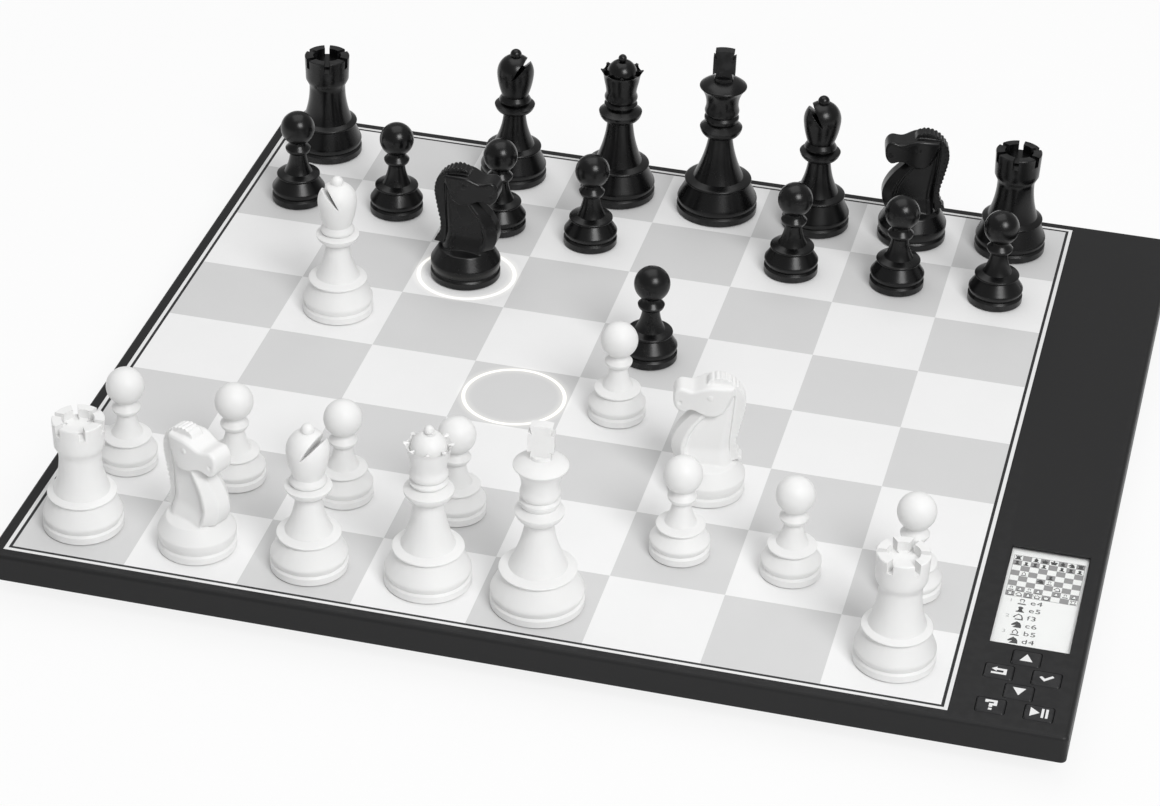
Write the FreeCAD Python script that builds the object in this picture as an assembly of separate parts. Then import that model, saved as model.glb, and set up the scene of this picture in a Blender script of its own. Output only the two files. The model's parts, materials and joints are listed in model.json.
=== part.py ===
"""Electronic chess computer: a flat case with sensing squares, a control panel and its chess men.

Millimetres. Origin at the bottom centre of the case, +X towards the control panel,
+Y away from the player, +Z up.
"""
import FreeCAD, Part
import math
import os

# Playing field and case
SQUARE = 48.0
FILES = "abcdefgh"
BORDER = 8.0
CONTROL_WIDTH = 51.0
TOTAL_HEIGHT = 22.0
SKIRT_HEIGHT = 12.4
SKIRT_WALL = 2.5
TOP_WALL = 3.2
CORNER_RADIUS = 2.5
TOP_EDGE_RADIUS = 1.8
SKIRT_EDGE_RADIUS = 0.6

# Lower case
DISH_INSET = 1.2
DISH_RUN = 17.4
FLOOR_WALL = 2.5
LIP_WALL = 1.8
LIP_HEIGHT = 3.0
LIP_CLEARANCE = 0.3
POST_RADIUS = 3.5
RIB_WALL = 1.6
RIB_HEIGHT = 3.0

# Feet
FOOT_DIAMETER = 12.0
FOOT_HEIGHT = 3.0
FOOT_SEAT = 0.6
FOOT_EDGE = 0.6
FOOT_INSET = 34.0
SEAT_CLEARANCE = 0.2

# Playing surface and lights
PANEL_MARGIN = 3.0
PANEL_THICKNESS = 2.0
PANEL_CLEARANCE = 0.15
GRID_WALL = 1.6
GRID_HEIGHT = 4.0
GRID_CLEARANCE = 0.4
RING_CLEARANCE = 0.2
RING_WIDTH = 1.3
LED_LENGTH = 3.0
LED_WIDTH = 1.2
LED_HEIGHT = 1.2
LED_GAP = 0.2

# Circuit boards
BOARD_THICKNESS = 1.6
SENSOR_MARGIN = 0.8
MAIN_BOARD_WIDTH = 28.0
MAIN_BOARD_TO_BRACKET = 4.0
MAIN_BOARD_REAR_GAP = 5.5
MAIN_BOARD_RISE = 2.0
SHIELD_SIDE = 24.0
SHIELD_HEIGHT = 2.6
SHIELD_CORNER = 2.0
MODULE_FROM_FRONT = 120.0
BUZZER_DIAMETER = 12.0
BUZZER_HEIGHT = 3.0
BUZZER_SOUND_HOLE = 2.0
BUZZER_FROM_FRONT = 150.0

# Charging socket
SOCKET_WIDTH = 8.9
SOCKET_DEPTH = 7.3
SOCKET_HEIGHT = 3.2
SOCKET_WALL = 0.4
SOCKET_FLOOR = 1.5
SOCKET_SLOT_CLEARANCE = 0.25
SOCKET_TO_WALL = 0.2

# Battery
BATTERY_LENGTH = 96.0
BATTERY_WIDTH = 60.0
BATTERY_HEADROOM = 1.3
BATTERY_EDGE = 2.0
BATTERY_X = 26.0
BATTERY_CLEARANCE = 0.4
STRAP_WIDTH = 14.0
STRAP_THICKNESS = 0.8
STRAP_FOOT = 9.0

# Control panel: screen
PANEL_AXIS_INSET = 22.8
WINDOW_WIDTH = 32.0
WINDOW_LENGTH = 69.0
KEY_TO_WINDOW = 3.8
WINDOW_WALL = 1.2
WINDOW_BEVEL = 0.5
PANE_SIDE_LAP = 2.0
PANE_END_LAP = 1.0
PANE_THICKNESS = 1.0
SCREEN_SIDE_LAP = 2.3
SCREEN_REAR_LAP = 5.5
SCREEN_THICKNESS = 1.0
SCREEN_FRONT_LAP = 1.5
POCKET_CLEARANCE = 0.3
POCKET_TAIL = 9.0
BRACKET_TAIL = 8.0
BRACKET_LAP = 2.5
TAIL_CLEARANCE = 1.0
BRACKET_THICKNESS = 1.4

# Control panel: keys
KEY_WIDTH = 11.4
KEY_LENGTH = 9.4
KEY_CORNER = 1.0
KEY_PROUD = 0.4
KEY_BEVEL = 0.5
KEY_CLEARANCE = 0.3
KEY_FLANGE_LAP = 0.45
KEY_FLANGE_THICKNESS = 1.0
KEY_STEM_DIAMETER = 4.0
KEY_STEM_LENGTH = 1.2
KEY_TRAVEL = 0.8
KEY_SPARE = 0.1
KEY_COLUMN = 9.45
KEY_ROW = 11.4
KEY_FIRST_ROW_Y = -153.0
SWITCH_SIDE = 6.0
SWITCH_HEIGHT = 3.4
PLUNGER_DIAMETER = 3.2
PLUNGER_HEIGHT = 0.3
KEY_BOARD_MARGIN = 2.8

# Screws
CASE_SCREW_INSET = 4.65
CASE_BOSS_RADIUS = 2.15
CASE_SCREW_HEAD_RADIUS = 2.1
CASE_SCREW_HEAD_HEIGHT = 1.8
CASE_SCREW_REACH = 6.6
TOWER_RADIUS = 3.4
TOWER_WEB = 2.1
SCREW_RADIUS = 1.25
SCREW_HEAD_RADIUS = 2.4
SCREW_HEAD_HEIGHT = 1.5
SCREW_REACH = 6.0
BRACKET_SCREW_REACH = 3.4
SCREW_FIT = 0.06
SCREW_PASS = 0.3
SCREW_SPARE = 0.5

# Flat cables
CABLE_THICKNESS = 0.3
CABLE_LAP = 9.0
CABLE_TO_SCREW = 0.6
FIELD_CABLE_WIDTH = 30.0
KEY_CABLE_WIDTH = 9.0
SCREEN_CABLE_WIDTH = 16.0
SCREEN_CABLE_OUT = 4.0
SCREEN_CABLE_BEND = 1.6

# Sizes shared by all chess men
FELT_THICKNESS = 1.0
FELT_PROUD = 0.3
FELT_INSET = 1.6
TAG_THICKNESS = 2.0
TAG_INSET = 4.5
POCKET_FIT = 0.15
PLINTH_HEIGHT = 3.8
GROOVE_HEIGHT = 1.5
GROOVE_DEPTH = 0.9
EDGE_CHAMFER = 0.35
BULGE_RISE = 3.0
RIM_OVERHANG = 0.9
RIM_SLOPE = 0.7
RIM_EDGE = 1.0
RIM_BEAD = 0.3
SHOULDER = 1.2
RING_GROOVE = 0.6

# Pawn
PAWN_BASE_D = 25.2
PAWN_RIM_D = 20.6
PAWN_RIM_Z = 12.4
PAWN_FOOT_D = 13.4
PAWN_STEM_SAG = 0.6
PAWN_NECK_D = 7.8
PAWN_NECK_Z = 25.0
PAWN_COLLAR_D = 12.1
PAWN_COLLAR_Z = 27.8
PAWN_COLLAR_TOP_D = 8.6
PAWN_COLLAR_TOP_Z = 29.9
PAWN_BALL_D = 16.2
PAWN_HEIGHT = 46.2

# Rook
ROOK_BASE_D = 33.2
ROOK_RIM_D = 28.6
ROOK_RIM_Z = 15.2
ROOK_FOOT_D = 23.4
ROOK_STEM_SAG = 0.9
ROOK_NECK_D = 17.4
ROOK_NECK_Z = 36.2
ROOK_HEAD_D = 20.8
ROOK_HEAD_Z = 39.8
ROOK_TOP_D = 21.6
ROOK_HEIGHT = 51.8
ROOK_WALL = 2.2
ROOK_CUP_DEPTH = 6.6
ROOK_SLOT_WIDTH = 2.7
ROOK_SLOT_DEPTH = 7.4
ROOK_SLOTS = 6

# Bishop
BISHOP_BASE_D = 31.9
BISHOP_RIM_D = 26.6
BISHOP_RIM_Z = 15.2
BISHOP_FOOT_D = 19.8
BISHOP_STEM_SAG = 1.0
BISHOP_NECK_D = 10.6
BISHOP_NECK_Z = 35.0
BISHOP_COLLAR_D = 19.4
BISHOP_COLLAR_Z = 39.3
BISHOP_RING_D = 15.4
BISHOP_RING_Z = 42.0
BISHOP_MITRE_FOOT_D = 12.6
BISHOP_MITRE_FOOT_Z = 44.4
BISHOP_MITRE_D = 17.6
BISHOP_MITRE_Z = 55.2
BISHOP_MITRE_TOP_D = 4.4
BISHOP_MITRE_TOP_Z = 65.2
BISHOP_BALL_D = 5.6
BISHOP_HEIGHT = 68.4
BISHOP_SLIT_WIDTH = 1.5
BISHOP_SLIT_TILT = 32.0
BISHOP_SLIT_Z = 52.0
BISHOP_SLIT_REACH = 3.6
BISHOP_MITRE_FULL = 0.4

# Queen
QUEEN_BASE_D = 35.8
QUEEN_RIM_D = 29.6
QUEEN_RIM_Z = 15.4
QUEEN_FOOT_D = 22.4
QUEEN_STEM_SAG = 1.0
QUEEN_NECK_D = 12.2
QUEEN_NECK_Z = 39.6
QUEEN_COLLAR_D = 20.6
QUEEN_COLLAR_Z = 44.6
QUEEN_RING_D = 15.8
QUEEN_RING_Z = 48.8
QUEEN_UPPER_RING_Z = 52.6
QUEEN_CUP_FOOT_D = 14.4
QUEEN_CUP_FOOT_Z = 54.6
QUEEN_CUP_SAG = 0.6
QUEEN_CROWN_D = 20.4
QUEEN_CROWN_Z = 65.2
QUEEN_CROWN_WALL = 2.2
QUEEN_GUTTER_Z = 62.6
QUEEN_DOME_D = 13.2
QUEEN_DOME_Z = 70.6
QUEEN_BALL_D = 4.8
QUEEN_HEIGHT = 74.8
QUEEN_POINTS = 8
QUEEN_SCALLOP_D = 6.8
QUEEN_SCALLOP_RAISE = 1.2

# King
KING_BASE_D = 38.4
KING_RIM_D = 32.0
KING_RIM_Z = 15.6
KING_FOOT_D = 24.0
KING_STEM_SAG = 1.0
KING_NECK_D = 11.2
KING_NECK_Z = 39.8
KING_COLLAR_D = 20.2
KING_COLLAR_Z = 44.8
KING_RING_D = 16.4
KING_RING_Z = 50.2
KING_UPPER_RING_Z = 53.8
KING_CUP_FOOT_D = 15.4
KING_CUP_FOOT_Z = 55.8
KING_CUP_SAG = 1.1
KING_CUP_D = 22.4
KING_CUP_Z = 65.8
KING_DOME_TOP_D = 9.4
KING_DOME_TOP_Z = 70.0
KING_CROSS_WIDTH = 10.6
KING_CROSS_THICKNESS = 4.8
KING_CROSS_Z = 77.5
KING_CROSS_BOTTOM_Z = 70.2
KING_HEIGHT = 85.3
KING_CROSS_FLARE = 4.5
KING_CROSS_ROOT = 3.7
KING_CROSS_CROWN = 0.5

# Knight: slices of the neck are (height, back, front, half thickness, back radius, front bevel),
# head and mane are drawn from the side as (towards the nose, height)
KNIGHT_BASE_D = 32.4
KNIGHT_SEAT_D = 24.6
KNIGHT_SEAT_Z = 15.4
KNIGHT_SEAT_TOP_D = 10.0
KNIGHT_SEAT_RISE = 2.4
KNIGHT_NECK = [
    (12.0, -10.6, 12.6, 8.0, 5.5, 4.0),
    (17.0, -9.8, 13.6, 7.7, 5.2, 4.0),
    (24.0, -8.9, 15.7, 7.3, 4.8, 4.0),
    (30.0, -9.1, 14.2, 6.9, 4.4, 3.8),
    (35.0, -9.5, 11.0, 6.4, 4.0, 3.4),
    (40.0, -10.0, 6.4, 5.7, 3.6, 3.0),
    (47.0, -10.2, 3.0, 5.5, 3.0, 2.4),
    (53.0, -9.6, 1.0, 5.3, 2.6, 2.0),
]
KNIGHT_HEAD_TOP = [(-9.5, 53.4), (-4.0, 53.9), (1.0, 53.9), (4.4, 52.7), (7.6, 51.5), (10.4, 51.9),
                   (13.0, 52.2), (15.2, 50.4), (15.8, 46.6), (14.9, 43.0), (12.8, 41.0)]
KNIGHT_JAW = [(12.8, 41.0), (10.4, 42.0), (7.8, 42.6), (4.8, 41.6), (1.6, 40.4), (-1.6, 40.2), (-4.8, 42.0),
              (-6.6, 45.6), (-8.2, 50.0), (-9.5, 53.4)]
KNIGHT_HEAD_PLAN = [(-9.5, 5.5), (-5.0, 6.6), (0.0, 7.0), (6.0, 6.4), (12.0, 5.5), (17.5, 4.8)]
KNIGHT_BROW_BEVEL = 1.3
KNIGHT_CREST = [(2.2, 53.2), (0.6, 56.0), (-3.0, 57.0), (-7.0, 56.1), (-11.0, 53.3), (-13.8, 49.0),
                (-14.7, 44.4), (-14.0, 38.6), (-12.5, 31.4), (-11.5, 25.6), (-12.0, 22.2), (-14.8, 17.2)]
KNIGHT_MANE_INSIDE = [(-9.0, 16.2), (-5.0, 30.0), (-5.0, 50.0)]
KNIGHT_MANE_HALF = 3.1
KNIGHT_TOOTH_D = 0.64
KNIGHT_TOOTH_SIDE_D = 0.5
KNIGHT_TOOTH_PITCH = 2.2
KNIGHT_TOOTH_LENGTH = 2.4
KNIGHT_EYE = (0.6, 49.4)
KNIGHT_EYE_D = 2.0
KNIGHT_EYE_PROUD = 0.35
KNIGHT_NOSTRIL = (13.1, 45.6)
KNIGHT_NOSTRIL_D = 1.3
KNIGHT_NOSTRIL_DEPTH = 0.5

# Derived places
FIELD = SQUARE * len(FILES)
CASE_WIDTH = BORDER + FIELD + CONTROL_WIDTH
CASE_DEPTH = FIELD + 2 * BORDER
RIGHT = CASE_WIDTH / 2
REAR = CASE_DEPTH / 2
FIELD_X = -RIGHT + BORDER + FIELD / 2
SKIRT_Z = TOTAL_HEIGHT - SKIRT_HEIGHT
CEILING_Z = TOTAL_HEIGHT - TOP_WALL
UNDERSIDE_Z = FOOT_HEIGHT - FOOT_SEAT
FLOOR_Z = UNDERSIDE_Z + FLOOR_WALL
PANEL_HALF = FIELD / 2 + PANEL_MARGIN
PANEL_Z = TOTAL_HEIGHT - PANEL_THICKNESS
GRID_HALF = FIELD / 2 + GRID_WALL / 2
GRID_Z = PANEL_Z - GRID_HEIGHT
SENSOR_HALF = FIELD / 2 + SENSOR_MARGIN
SENSOR_Z = GRID_Z - BOARD_THICKNESS
PANEL_AXIS_X = RIGHT - PANEL_AXIS_INSET
MIDDLE = (len(FILES) - 1) / 2
BATTERY_THICKNESS = SENSOR_Z - FLOOR_Z - STRAP_THICKNESS - BATTERY_HEADROOM
POCKET_TOP = TOTAL_HEIGHT - WINDOW_WALL
PANE_Z = POCKET_TOP - PANE_THICKNESS
SCREEN_Z = PANE_Z - SCREEN_THICKNESS
WINDOW_FRONT = KEY_FIRST_ROW_Y + KEY_LENGTH / 2 + KEY_TO_WINDOW
WINDOW_CENTRE_Y = WINDOW_FRONT + WINDOW_LENGTH / 2
SCREEN_WIDTH = WINDOW_WIDTH + 2 * SCREEN_SIDE_LAP
SCREEN_FRONT = WINDOW_FRONT - SCREEN_FRONT_LAP
SCREEN_REAR = WINDOW_FRONT + WINDOW_LENGTH + SCREEN_REAR_LAP
SCREEN_LENGTH = SCREEN_REAR - SCREEN_FRONT
MAIN_BOARD_FRONT = SCREEN_REAR + BRACKET_TAIL + MAIN_BOARD_TO_BRACKET
MAIN_BOARD_REAR = REAR - MAIN_BOARD_REAR_GAP
MAIN_BOARD_Z = SKIRT_Z + MAIN_BOARD_RISE
MAIN_BOARD_TOP = MAIN_BOARD_Z + BOARD_THICKNESS
MAIN_BOARD_POST_INSET = CABLE_LAP + SCREW_HEAD_RADIUS + CABLE_TO_SCREW
BRACKET_Z = SCREEN_Z - BRACKET_THICKNESS
KEY_FLANGE_Z = CEILING_Z - KEY_FLANGE_THICKNESS
KEY_STEM_Z = KEY_FLANGE_Z - KEY_STEM_LENGTH
PLUNGER_TOP = KEY_STEM_Z - KEY_TRAVEL - KEY_SPARE
KEY_BOARD_TOP = PLUNGER_TOP - PLUNGER_HEIGHT - SWITCH_HEIGHT
KEY_BOARD_Z = KEY_BOARD_TOP - BOARD_THICKNESS
CASE_BOSS_Z = SKIRT_Z + LIP_HEIGHT
CASE_SCREW_SEAT = CASE_BOSS_Z - TOWER_WEB

KEYS = {
    "key_up": (0, 0),
    "key_back": (-1, 1),
    "key_ok": (1, 1),
    "key_down": (0, 2),
    "key_help": (-1, 3),
    "key_play": (1, 3),
}


def vec(x, y, z):
    return FreeCAD.Vector(x, y, z)


def block(x0, x1, y0, y1, z0, z1):
    return Part.makeBox(x1 - x0, y1 - y0, z1 - z0, vec(x0, y0, z0))


def centred(x, y, width, length, z0, z1):
    return block(x - width / 2, x + width / 2, y - length / 2, y + length / 2, z0, z1)


def rod(x, y, radius, z0, z1):
    return Part.makeCylinder(radius, z1 - z0, vec(x, y, z0))


def rounded_wire(x0, x1, y0, y1, z, radius):
    """Rectangle with round corners, level at height z."""
    turn = radius * (1 - math.sqrt(0.5))
    corners = [(x1, y1, -1, -1), (x0, y1, 1, -1), (x0, y0, 1, 1), (x1, y0, -1, 1)]
    arcs = []
    for number, (x, y, to_x, to_y) in enumerate(corners):
        along_x = vec(x + to_x * radius, y, z)
        along_y = vec(x, y + to_y * radius, z)
        middle = vec(x + to_x * turn, y + to_y * turn, z)
        ends = (along_y, along_x) if number % 2 == 0 else (along_x, along_y)
        arcs.append((ends[0], middle, ends[1]))
    edges = []
    for number, (start, middle, end) in enumerate(arcs):
        edges.append(Part.Arc(start, middle, end).toShape())
        edges.append(Part.makeLine(end, arcs[(number + 1) % len(arcs)][0]))
    return Part.Wire(edges)


def rounded_plate(x0, x1, y0, y1, z0, z1, radius):
    face = Part.Face(rounded_wire(x0, x1, y0, y1, z0, radius))
    return face.extrude(vec(0, 0, z1 - z0))


def case_plate(inset, z0, z1, radius):
    """Plate with the case's own outline, drawn in by inset."""
    return rounded_plate(-RIGHT + inset, RIGHT - inset, -REAR + inset, REAR - inset, z0, z1, radius)


def field_plate(half, z0, z1):
    return centred(FIELD_X, 0, 2 * half, 2 * half, z0, z1)


def square_centres():
    for column in range(len(FILES)):
        for row in range(len(FILES)):
            yield (FIELD_X + (column - MIDDLE) * SQUARE, (row - MIDDLE) * SQUARE)


def screw(x, y, seat_z, reach, head_radius, head_height, up):
    """Pan-head screw whose head bears on seat_z; up says which way its point looks."""
    head_to = seat_z - head_height if up else seat_z + head_height
    point = seat_z + reach if up else seat_z - reach
    head = rod(x, y, head_radius, min(seat_z, head_to), max(seat_z, head_to))
    shank = rod(x, y, SCREW_RADIUS, min(seat_z, point), max(seat_z, point))
    return head.fuse(shank).removeSplitter()


def case_screw_places():
    """Points round the skirt where the two case halves are screwed together."""
    side_x = RIGHT - CASE_SCREW_INSET
    side_y = REAR - CASE_SCREW_INSET
    for share in (-0.8, -0.3, 0.3, 0.8):
        yield (share * RIGHT, side_y)
        yield (share * RIGHT, -side_y)
    for share in (-0.25, 0.35):
        yield (side_x, share * REAR)
        yield (-side_x, share * REAR)


def board_post_places():
    """Square centres under which the sensor board is screwed down."""
    for column in (1, 3, 6):
        for row in (1, 4, 6):
            yield (FIELD_X + (column - MIDDLE) * SQUARE, (row - MIDDLE) * SQUARE)


def main_board_post_places():
    half = MAIN_BOARD_WIDTH / 2 - POST_RADIUS
    for side in (-1, 1):
        yield (PANEL_AXIS_X + side * half, MAIN_BOARD_FRONT + MAIN_BOARD_POST_INSET)
        yield (PANEL_AXIS_X + side * half, MAIN_BOARD_REAR - MAIN_BOARD_POST_INSET)


def bracket_screw_places():
    half = SCREEN_WIDTH / 2 + POCKET_CLEARANCE
    for share in (0.1, 0.55):
        yield (PANEL_AXIS_X - half - BRACKET_LAP, SCREEN_FRONT + share * SCREEN_LENGTH)
    for side in (-1, 1):
        yield (PANEL_AXIS_X + side * (half + tail_half()) / 2, SCREEN_REAR + BRACKET_TAIL / 2)


def tail_half():
    """Half the width kept free for the screen's cable."""
    return SCREEN_CABLE_WIDTH / 2 + TAIL_CLEARANCE


def key_place(name):
    column, row = KEYS[name]
    return (PANEL_AXIS_X + column * KEY_COLUMN, KEY_FIRST_ROW_Y - row * KEY_ROW)


def screen_pocket(z0, z1):
    """Room behind the window for pane, screen and the bend of its cable."""
    half = SCREEN_WIDTH / 2 + POCKET_CLEARANCE
    room = block(PANEL_AXIS_X - half, PANEL_AXIS_X + half, SCREEN_FRONT - POCKET_CLEARANCE,
                 SCREEN_REAR + POCKET_CLEARANCE, z0, z1)
    tail = block(PANEL_AXIS_X - tail_half(), PANEL_AXIS_X + tail_half(), SCREEN_REAR,
                 SCREEN_REAR + POCKET_TAIL, z0, z1)
    return room.fuse(tail)


def window_cut():
    """Screen opening with a bevelled outer edge."""
    half_x = WINDOW_WIDTH / 2
    half_y = WINDOW_LENGTH / 2
    low = TOTAL_HEIGHT - WINDOW_BEVEL
    hole = centred(PANEL_AXIS_X, WINDOW_CENTRE_Y, WINDOW_WIDTH, WINDOW_LENGTH, POCKET_TOP, TOTAL_HEIGHT)
    rings = []
    for grow, z in ((0, low), (WINDOW_BEVEL, TOTAL_HEIGHT)):
        rings.append(Part.makePolygon([
            vec(PANEL_AXIS_X + side_x * (half_x + grow), WINDOW_CENTRE_Y + side_y * (half_y + grow), z)
            for side_x, side_y in ((-1, -1), (1, -1), (1, 1), (-1, 1), (-1, -1))]))
    return hole.fuse(Part.makeLoft(rings, True, True))


def socket_centre_z():
    return MAIN_BOARD_TOP + SOCKET_HEIGHT / 2


def upper_case():
    """Top frame: skirt, ledge for the playing surface, control panel and screw bosses."""
    shell = case_plate(0, SKIRT_Z, TOTAL_HEIGHT, CORNER_RADIUS)
    top_edges = [edge for edge in shell.Edges if edge.BoundBox.ZMin > TOTAL_HEIGHT - 1e-6]
    shell = shell.makeFillet(TOP_EDGE_RADIUS, top_edges)
    low_edges = [edge for edge in shell.Edges if edge.BoundBox.ZMax < SKIRT_Z + 1e-6]
    shell = shell.makeFillet(SKIRT_EDGE_RADIUS, low_edges)
    shell = shell.cut(case_plate(SKIRT_WALL, SKIRT_Z, CEILING_Z, CORNER_RADIUS - SKIRT_EDGE_RADIUS))
    bosses = [rod(x, y, CASE_BOSS_RADIUS, CASE_BOSS_Z, CEILING_Z) for x, y in case_screw_places()]
    shell = shell.multiFuse(bosses)
    half_key_x = KEY_WIDTH / 2 + KEY_CLEARANCE
    half_key_y = KEY_LENGTH / 2 + KEY_CLEARANCE
    cuts = [
        field_plate(PANEL_HALF + PANEL_CLEARANCE, PANEL_Z, TOTAL_HEIGHT),
        field_plate(GRID_HALF + GRID_CLEARANCE, CEILING_Z, PANEL_Z),
        screen_pocket(CEILING_Z, POCKET_TOP),
        window_cut(),
    ]
    for name in KEYS:
        x, y = key_place(name)
        cuts.append(rounded_plate(x - half_key_x, x + half_key_x, y - half_key_y, y + half_key_y,
                                  CEILING_Z, TOTAL_HEIGHT, KEY_CORNER + KEY_CLEARANCE))
    for x, y in case_screw_places():
        cuts.append(rod(x, y, SCREW_RADIUS + SCREW_FIT, CASE_BOSS_Z,
                        CASE_SCREW_SEAT + CASE_SCREW_REACH + SCREW_SPARE))
    for x, y in bracket_screw_places():
        cuts.append(rod(x, y, SCREW_RADIUS + SCREW_FIT, CEILING_Z,
                        BRACKET_Z + BRACKET_SCREW_REACH + SCREW_SPARE / 2))
    cuts.append(socket_slot())
    return shell.cut(cuts)


def socket_slot():
    """Slot with round ends through the rear skirt, in line with the charging socket."""
    half = SOCKET_WIDTH / 2 + SOCKET_SLOT_CLEARANCE
    tall = SOCKET_HEIGHT / 2 + SOCKET_SLOT_CLEARANCE
    plate = rounded_plate(-half, half, -tall, tall, 0, SKIRT_WALL, tall - SOCKET_SLOT_CLEARANCE)
    plate.rotate(vec(0, 0, 0), vec(1, 0, 0), 90)
    plate.translate(vec(PANEL_AXIS_X, REAR, socket_centre_z()))
    return plate


def dish(raise_by):
    """Sloped lower form: wide under the skirt, drawn in towards the feet."""
    low_inset = DISH_INSET + DISH_RUN
    rings = []
    for inset, z in ((low_inset, UNDERSIDE_Z + raise_by), (DISH_INSET, SKIRT_Z + raise_by)):
        rings.append(rounded_wire(-RIGHT + inset, RIGHT - inset, -REAR + inset, REAR - inset, z,
                                  CORNER_RADIUS))
    return Part.makeLoft(rings, True, True)


def foot_places():
    for x in (-RIGHT + FOOT_INSET, 0, RIGHT - FOOT_INSET):
        for y in (-REAR + FOOT_INSET, REAR - FOOT_INSET):
            yield (x, y)


def lower_case():
    """Dished bottom shell with lip, screw towers, board posts and a battery tray."""
    outer = dish(0)
    lip_out = SKIRT_WALL + LIP_CLEARANCE
    inside = case_plate(lip_out, SKIRT_Z, CASE_BOSS_Z, CORNER_RADIUS - SKIRT_EDGE_RADIUS)
    lip = inside.cut(case_plate(lip_out + LIP_WALL, SKIRT_Z, CASE_BOSS_Z, CORNER_RADIUS - SKIRT_EDGE_RADIUS))
    envelope = outer.fuse(case_plate(lip_out, SKIRT_Z, TOTAL_HEIGHT, CORNER_RADIUS - SKIRT_EDGE_RADIUS))
    inner = [rod(x, y, TOWER_RADIUS, UNDERSIDE_Z, CASE_BOSS_Z) for x, y in case_screw_places()]
    inner += [rod(x, y, POST_RADIUS, UNDERSIDE_Z, SENSOR_Z) for x, y in board_post_places()]
    inner += [rod(x, y, POST_RADIUS, UNDERSIDE_Z, MAIN_BOARD_Z) for x, y in main_board_post_places()]
    inner += [rod(x, y, POST_RADIUS, UNDERSIDE_Z, KEY_BOARD_Z) for x, y in key_board_post_places()]
    inner.append(battery_tray())
    shell = outer.cut(dish(FLOOR_WALL)).multiFuse([lip] + [piece.common(envelope) for piece in inner])
    cuts = []
    for x, y in case_screw_places():
        cuts.append(rod(x, y, CASE_SCREW_HEAD_RADIUS + SCREW_PASS, 0, CASE_SCREW_SEAT))
        cuts.append(rod(x, y, SCREW_RADIUS + SCREW_PASS, CASE_SCREW_SEAT, CASE_BOSS_Z))
    for x, y in board_post_places():
        cuts.append(rod(x, y, SCREW_RADIUS + SCREW_FIT, GRID_Z - SCREW_REACH - SCREW_SPARE, SENSOR_Z))
    for x, y in main_board_post_places():
        cuts.append(rod(x, y, SCREW_RADIUS + SCREW_FIT, MAIN_BOARD_TOP - SCREW_REACH - SCREW_SPARE,
                        MAIN_BOARD_Z))
    for x, y in foot_places():
        cuts.append(rod(x, y, FOOT_DIAMETER / 2 + SEAT_CLEARANCE, UNDERSIDE_Z, FOOT_HEIGHT))
    return shell.cut(cuts)


def battery_tray():
    """Low wall round the battery, left open where the strap goes down."""
    half_x = BATTERY_LENGTH / 2 + BATTERY_CLEARANCE
    half_y = BATTERY_WIDTH / 2 + BATTERY_CLEARANCE
    wall = centred(BATTERY_X, 0, 2 * (half_x + RIB_WALL), 2 * (half_y + RIB_WALL),
                   FLOOR_Z, FLOOR_Z + RIB_HEIGHT)
    wall = wall.cut(centred(BATTERY_X, 0, 2 * half_x, 2 * half_y, FLOOR_Z, FLOOR_Z + RIB_HEIGHT))
    gap = STRAP_WIDTH + 2 * BATTERY_CLEARANCE
    return wall.cut(centred(BATTERY_X, 0, gap, 3 * BATTERY_WIDTH, FLOOR_Z, FLOOR_Z + RIB_HEIGHT))


def rubber_feet():
    feet = []
    for x, y in foot_places():
        foot = rod(x, y, FOOT_DIAMETER / 2, 0, FOOT_HEIGHT)
        low = [edge for edge in foot.Edges if edge.BoundBox.ZMax < 1e-6]
        feet.append(foot.makeChamfer(FOOT_EDGE, low))
    return Part.makeCompound(feet)


def case_screws():
    return Part.makeCompound([
        screw(x, y, CASE_SCREW_SEAT, CASE_SCREW_REACH, CASE_SCREW_HEAD_RADIUS, CASE_SCREW_HEAD_HEIGHT, True)
        for x, y in case_screw_places()])


def small_screws():
    """Screws that hold the circuit boards and the screen bracket."""
    screws = [screw(x, y, GRID_Z, SCREW_REACH, SCREW_HEAD_RADIUS, SCREW_HEAD_HEIGHT, False)
              for x, y in board_post_places()]
    screws += [screw(x, y, MAIN_BOARD_TOP, SCREW_REACH, SCREW_HEAD_RADIUS, SCREW_HEAD_HEIGHT, False)
               for x, y in main_board_post_places()]
    screws += [screw(x, y, BRACKET_Z, BRACKET_SCREW_REACH, SCREW_HEAD_RADIUS, SCREW_HEAD_HEIGHT, True)
               for x, y in bracket_screw_places()]
    return Part.makeCompound(screws)


def board_panel():
    return field_plate(PANEL_HALF, PANEL_Z, TOTAL_HEIGHT)


def light_grid():
    """Egg-crate wall that keeps the light of each square to itself."""
    cell = SQUARE - GRID_WALL
    cells = [centred(x, y, cell, cell, GRID_Z, PANEL_Z) for x, y in square_centres()]
    return field_plate(GRID_HALF, GRID_Z, PANEL_Z).cut(Part.makeCompound(cells))


def ring_outer_radius():
    return (SQUARE - GRID_WALL) / 2 - RING_CLEARANCE


def ring_light_guides():
    """One clear ring per square, lit from one point and bonded under the playing surface."""
    outer = ring_outer_radius()
    low = GRID_Z + LED_HEIGHT + LED_GAP
    ring = rod(0, 0, outer, low, PANEL_Z).cut(rod(0, 0, outer - RING_WIDTH, low, PANEL_Z))
    return Part.makeCompound([ring.translated(vec(x, y, 0)) for x, y in square_centres()])


def square_leds():
    middle = ring_outer_radius() - RING_WIDTH / 2
    return Part.makeCompound([
        centred(x, y - middle, LED_LENGTH, LED_WIDTH, GRID_Z, GRID_Z + LED_HEIGHT)
        for x, y in square_centres()])


def sensor_board():
    plate = field_plate(SENSOR_HALF, SENSOR_Z, GRID_Z)
    return plate.cut([rod(x, y, SCREW_RADIUS + SCREW_PASS, SENSOR_Z, GRID_Z) for x, y in board_post_places()])


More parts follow.
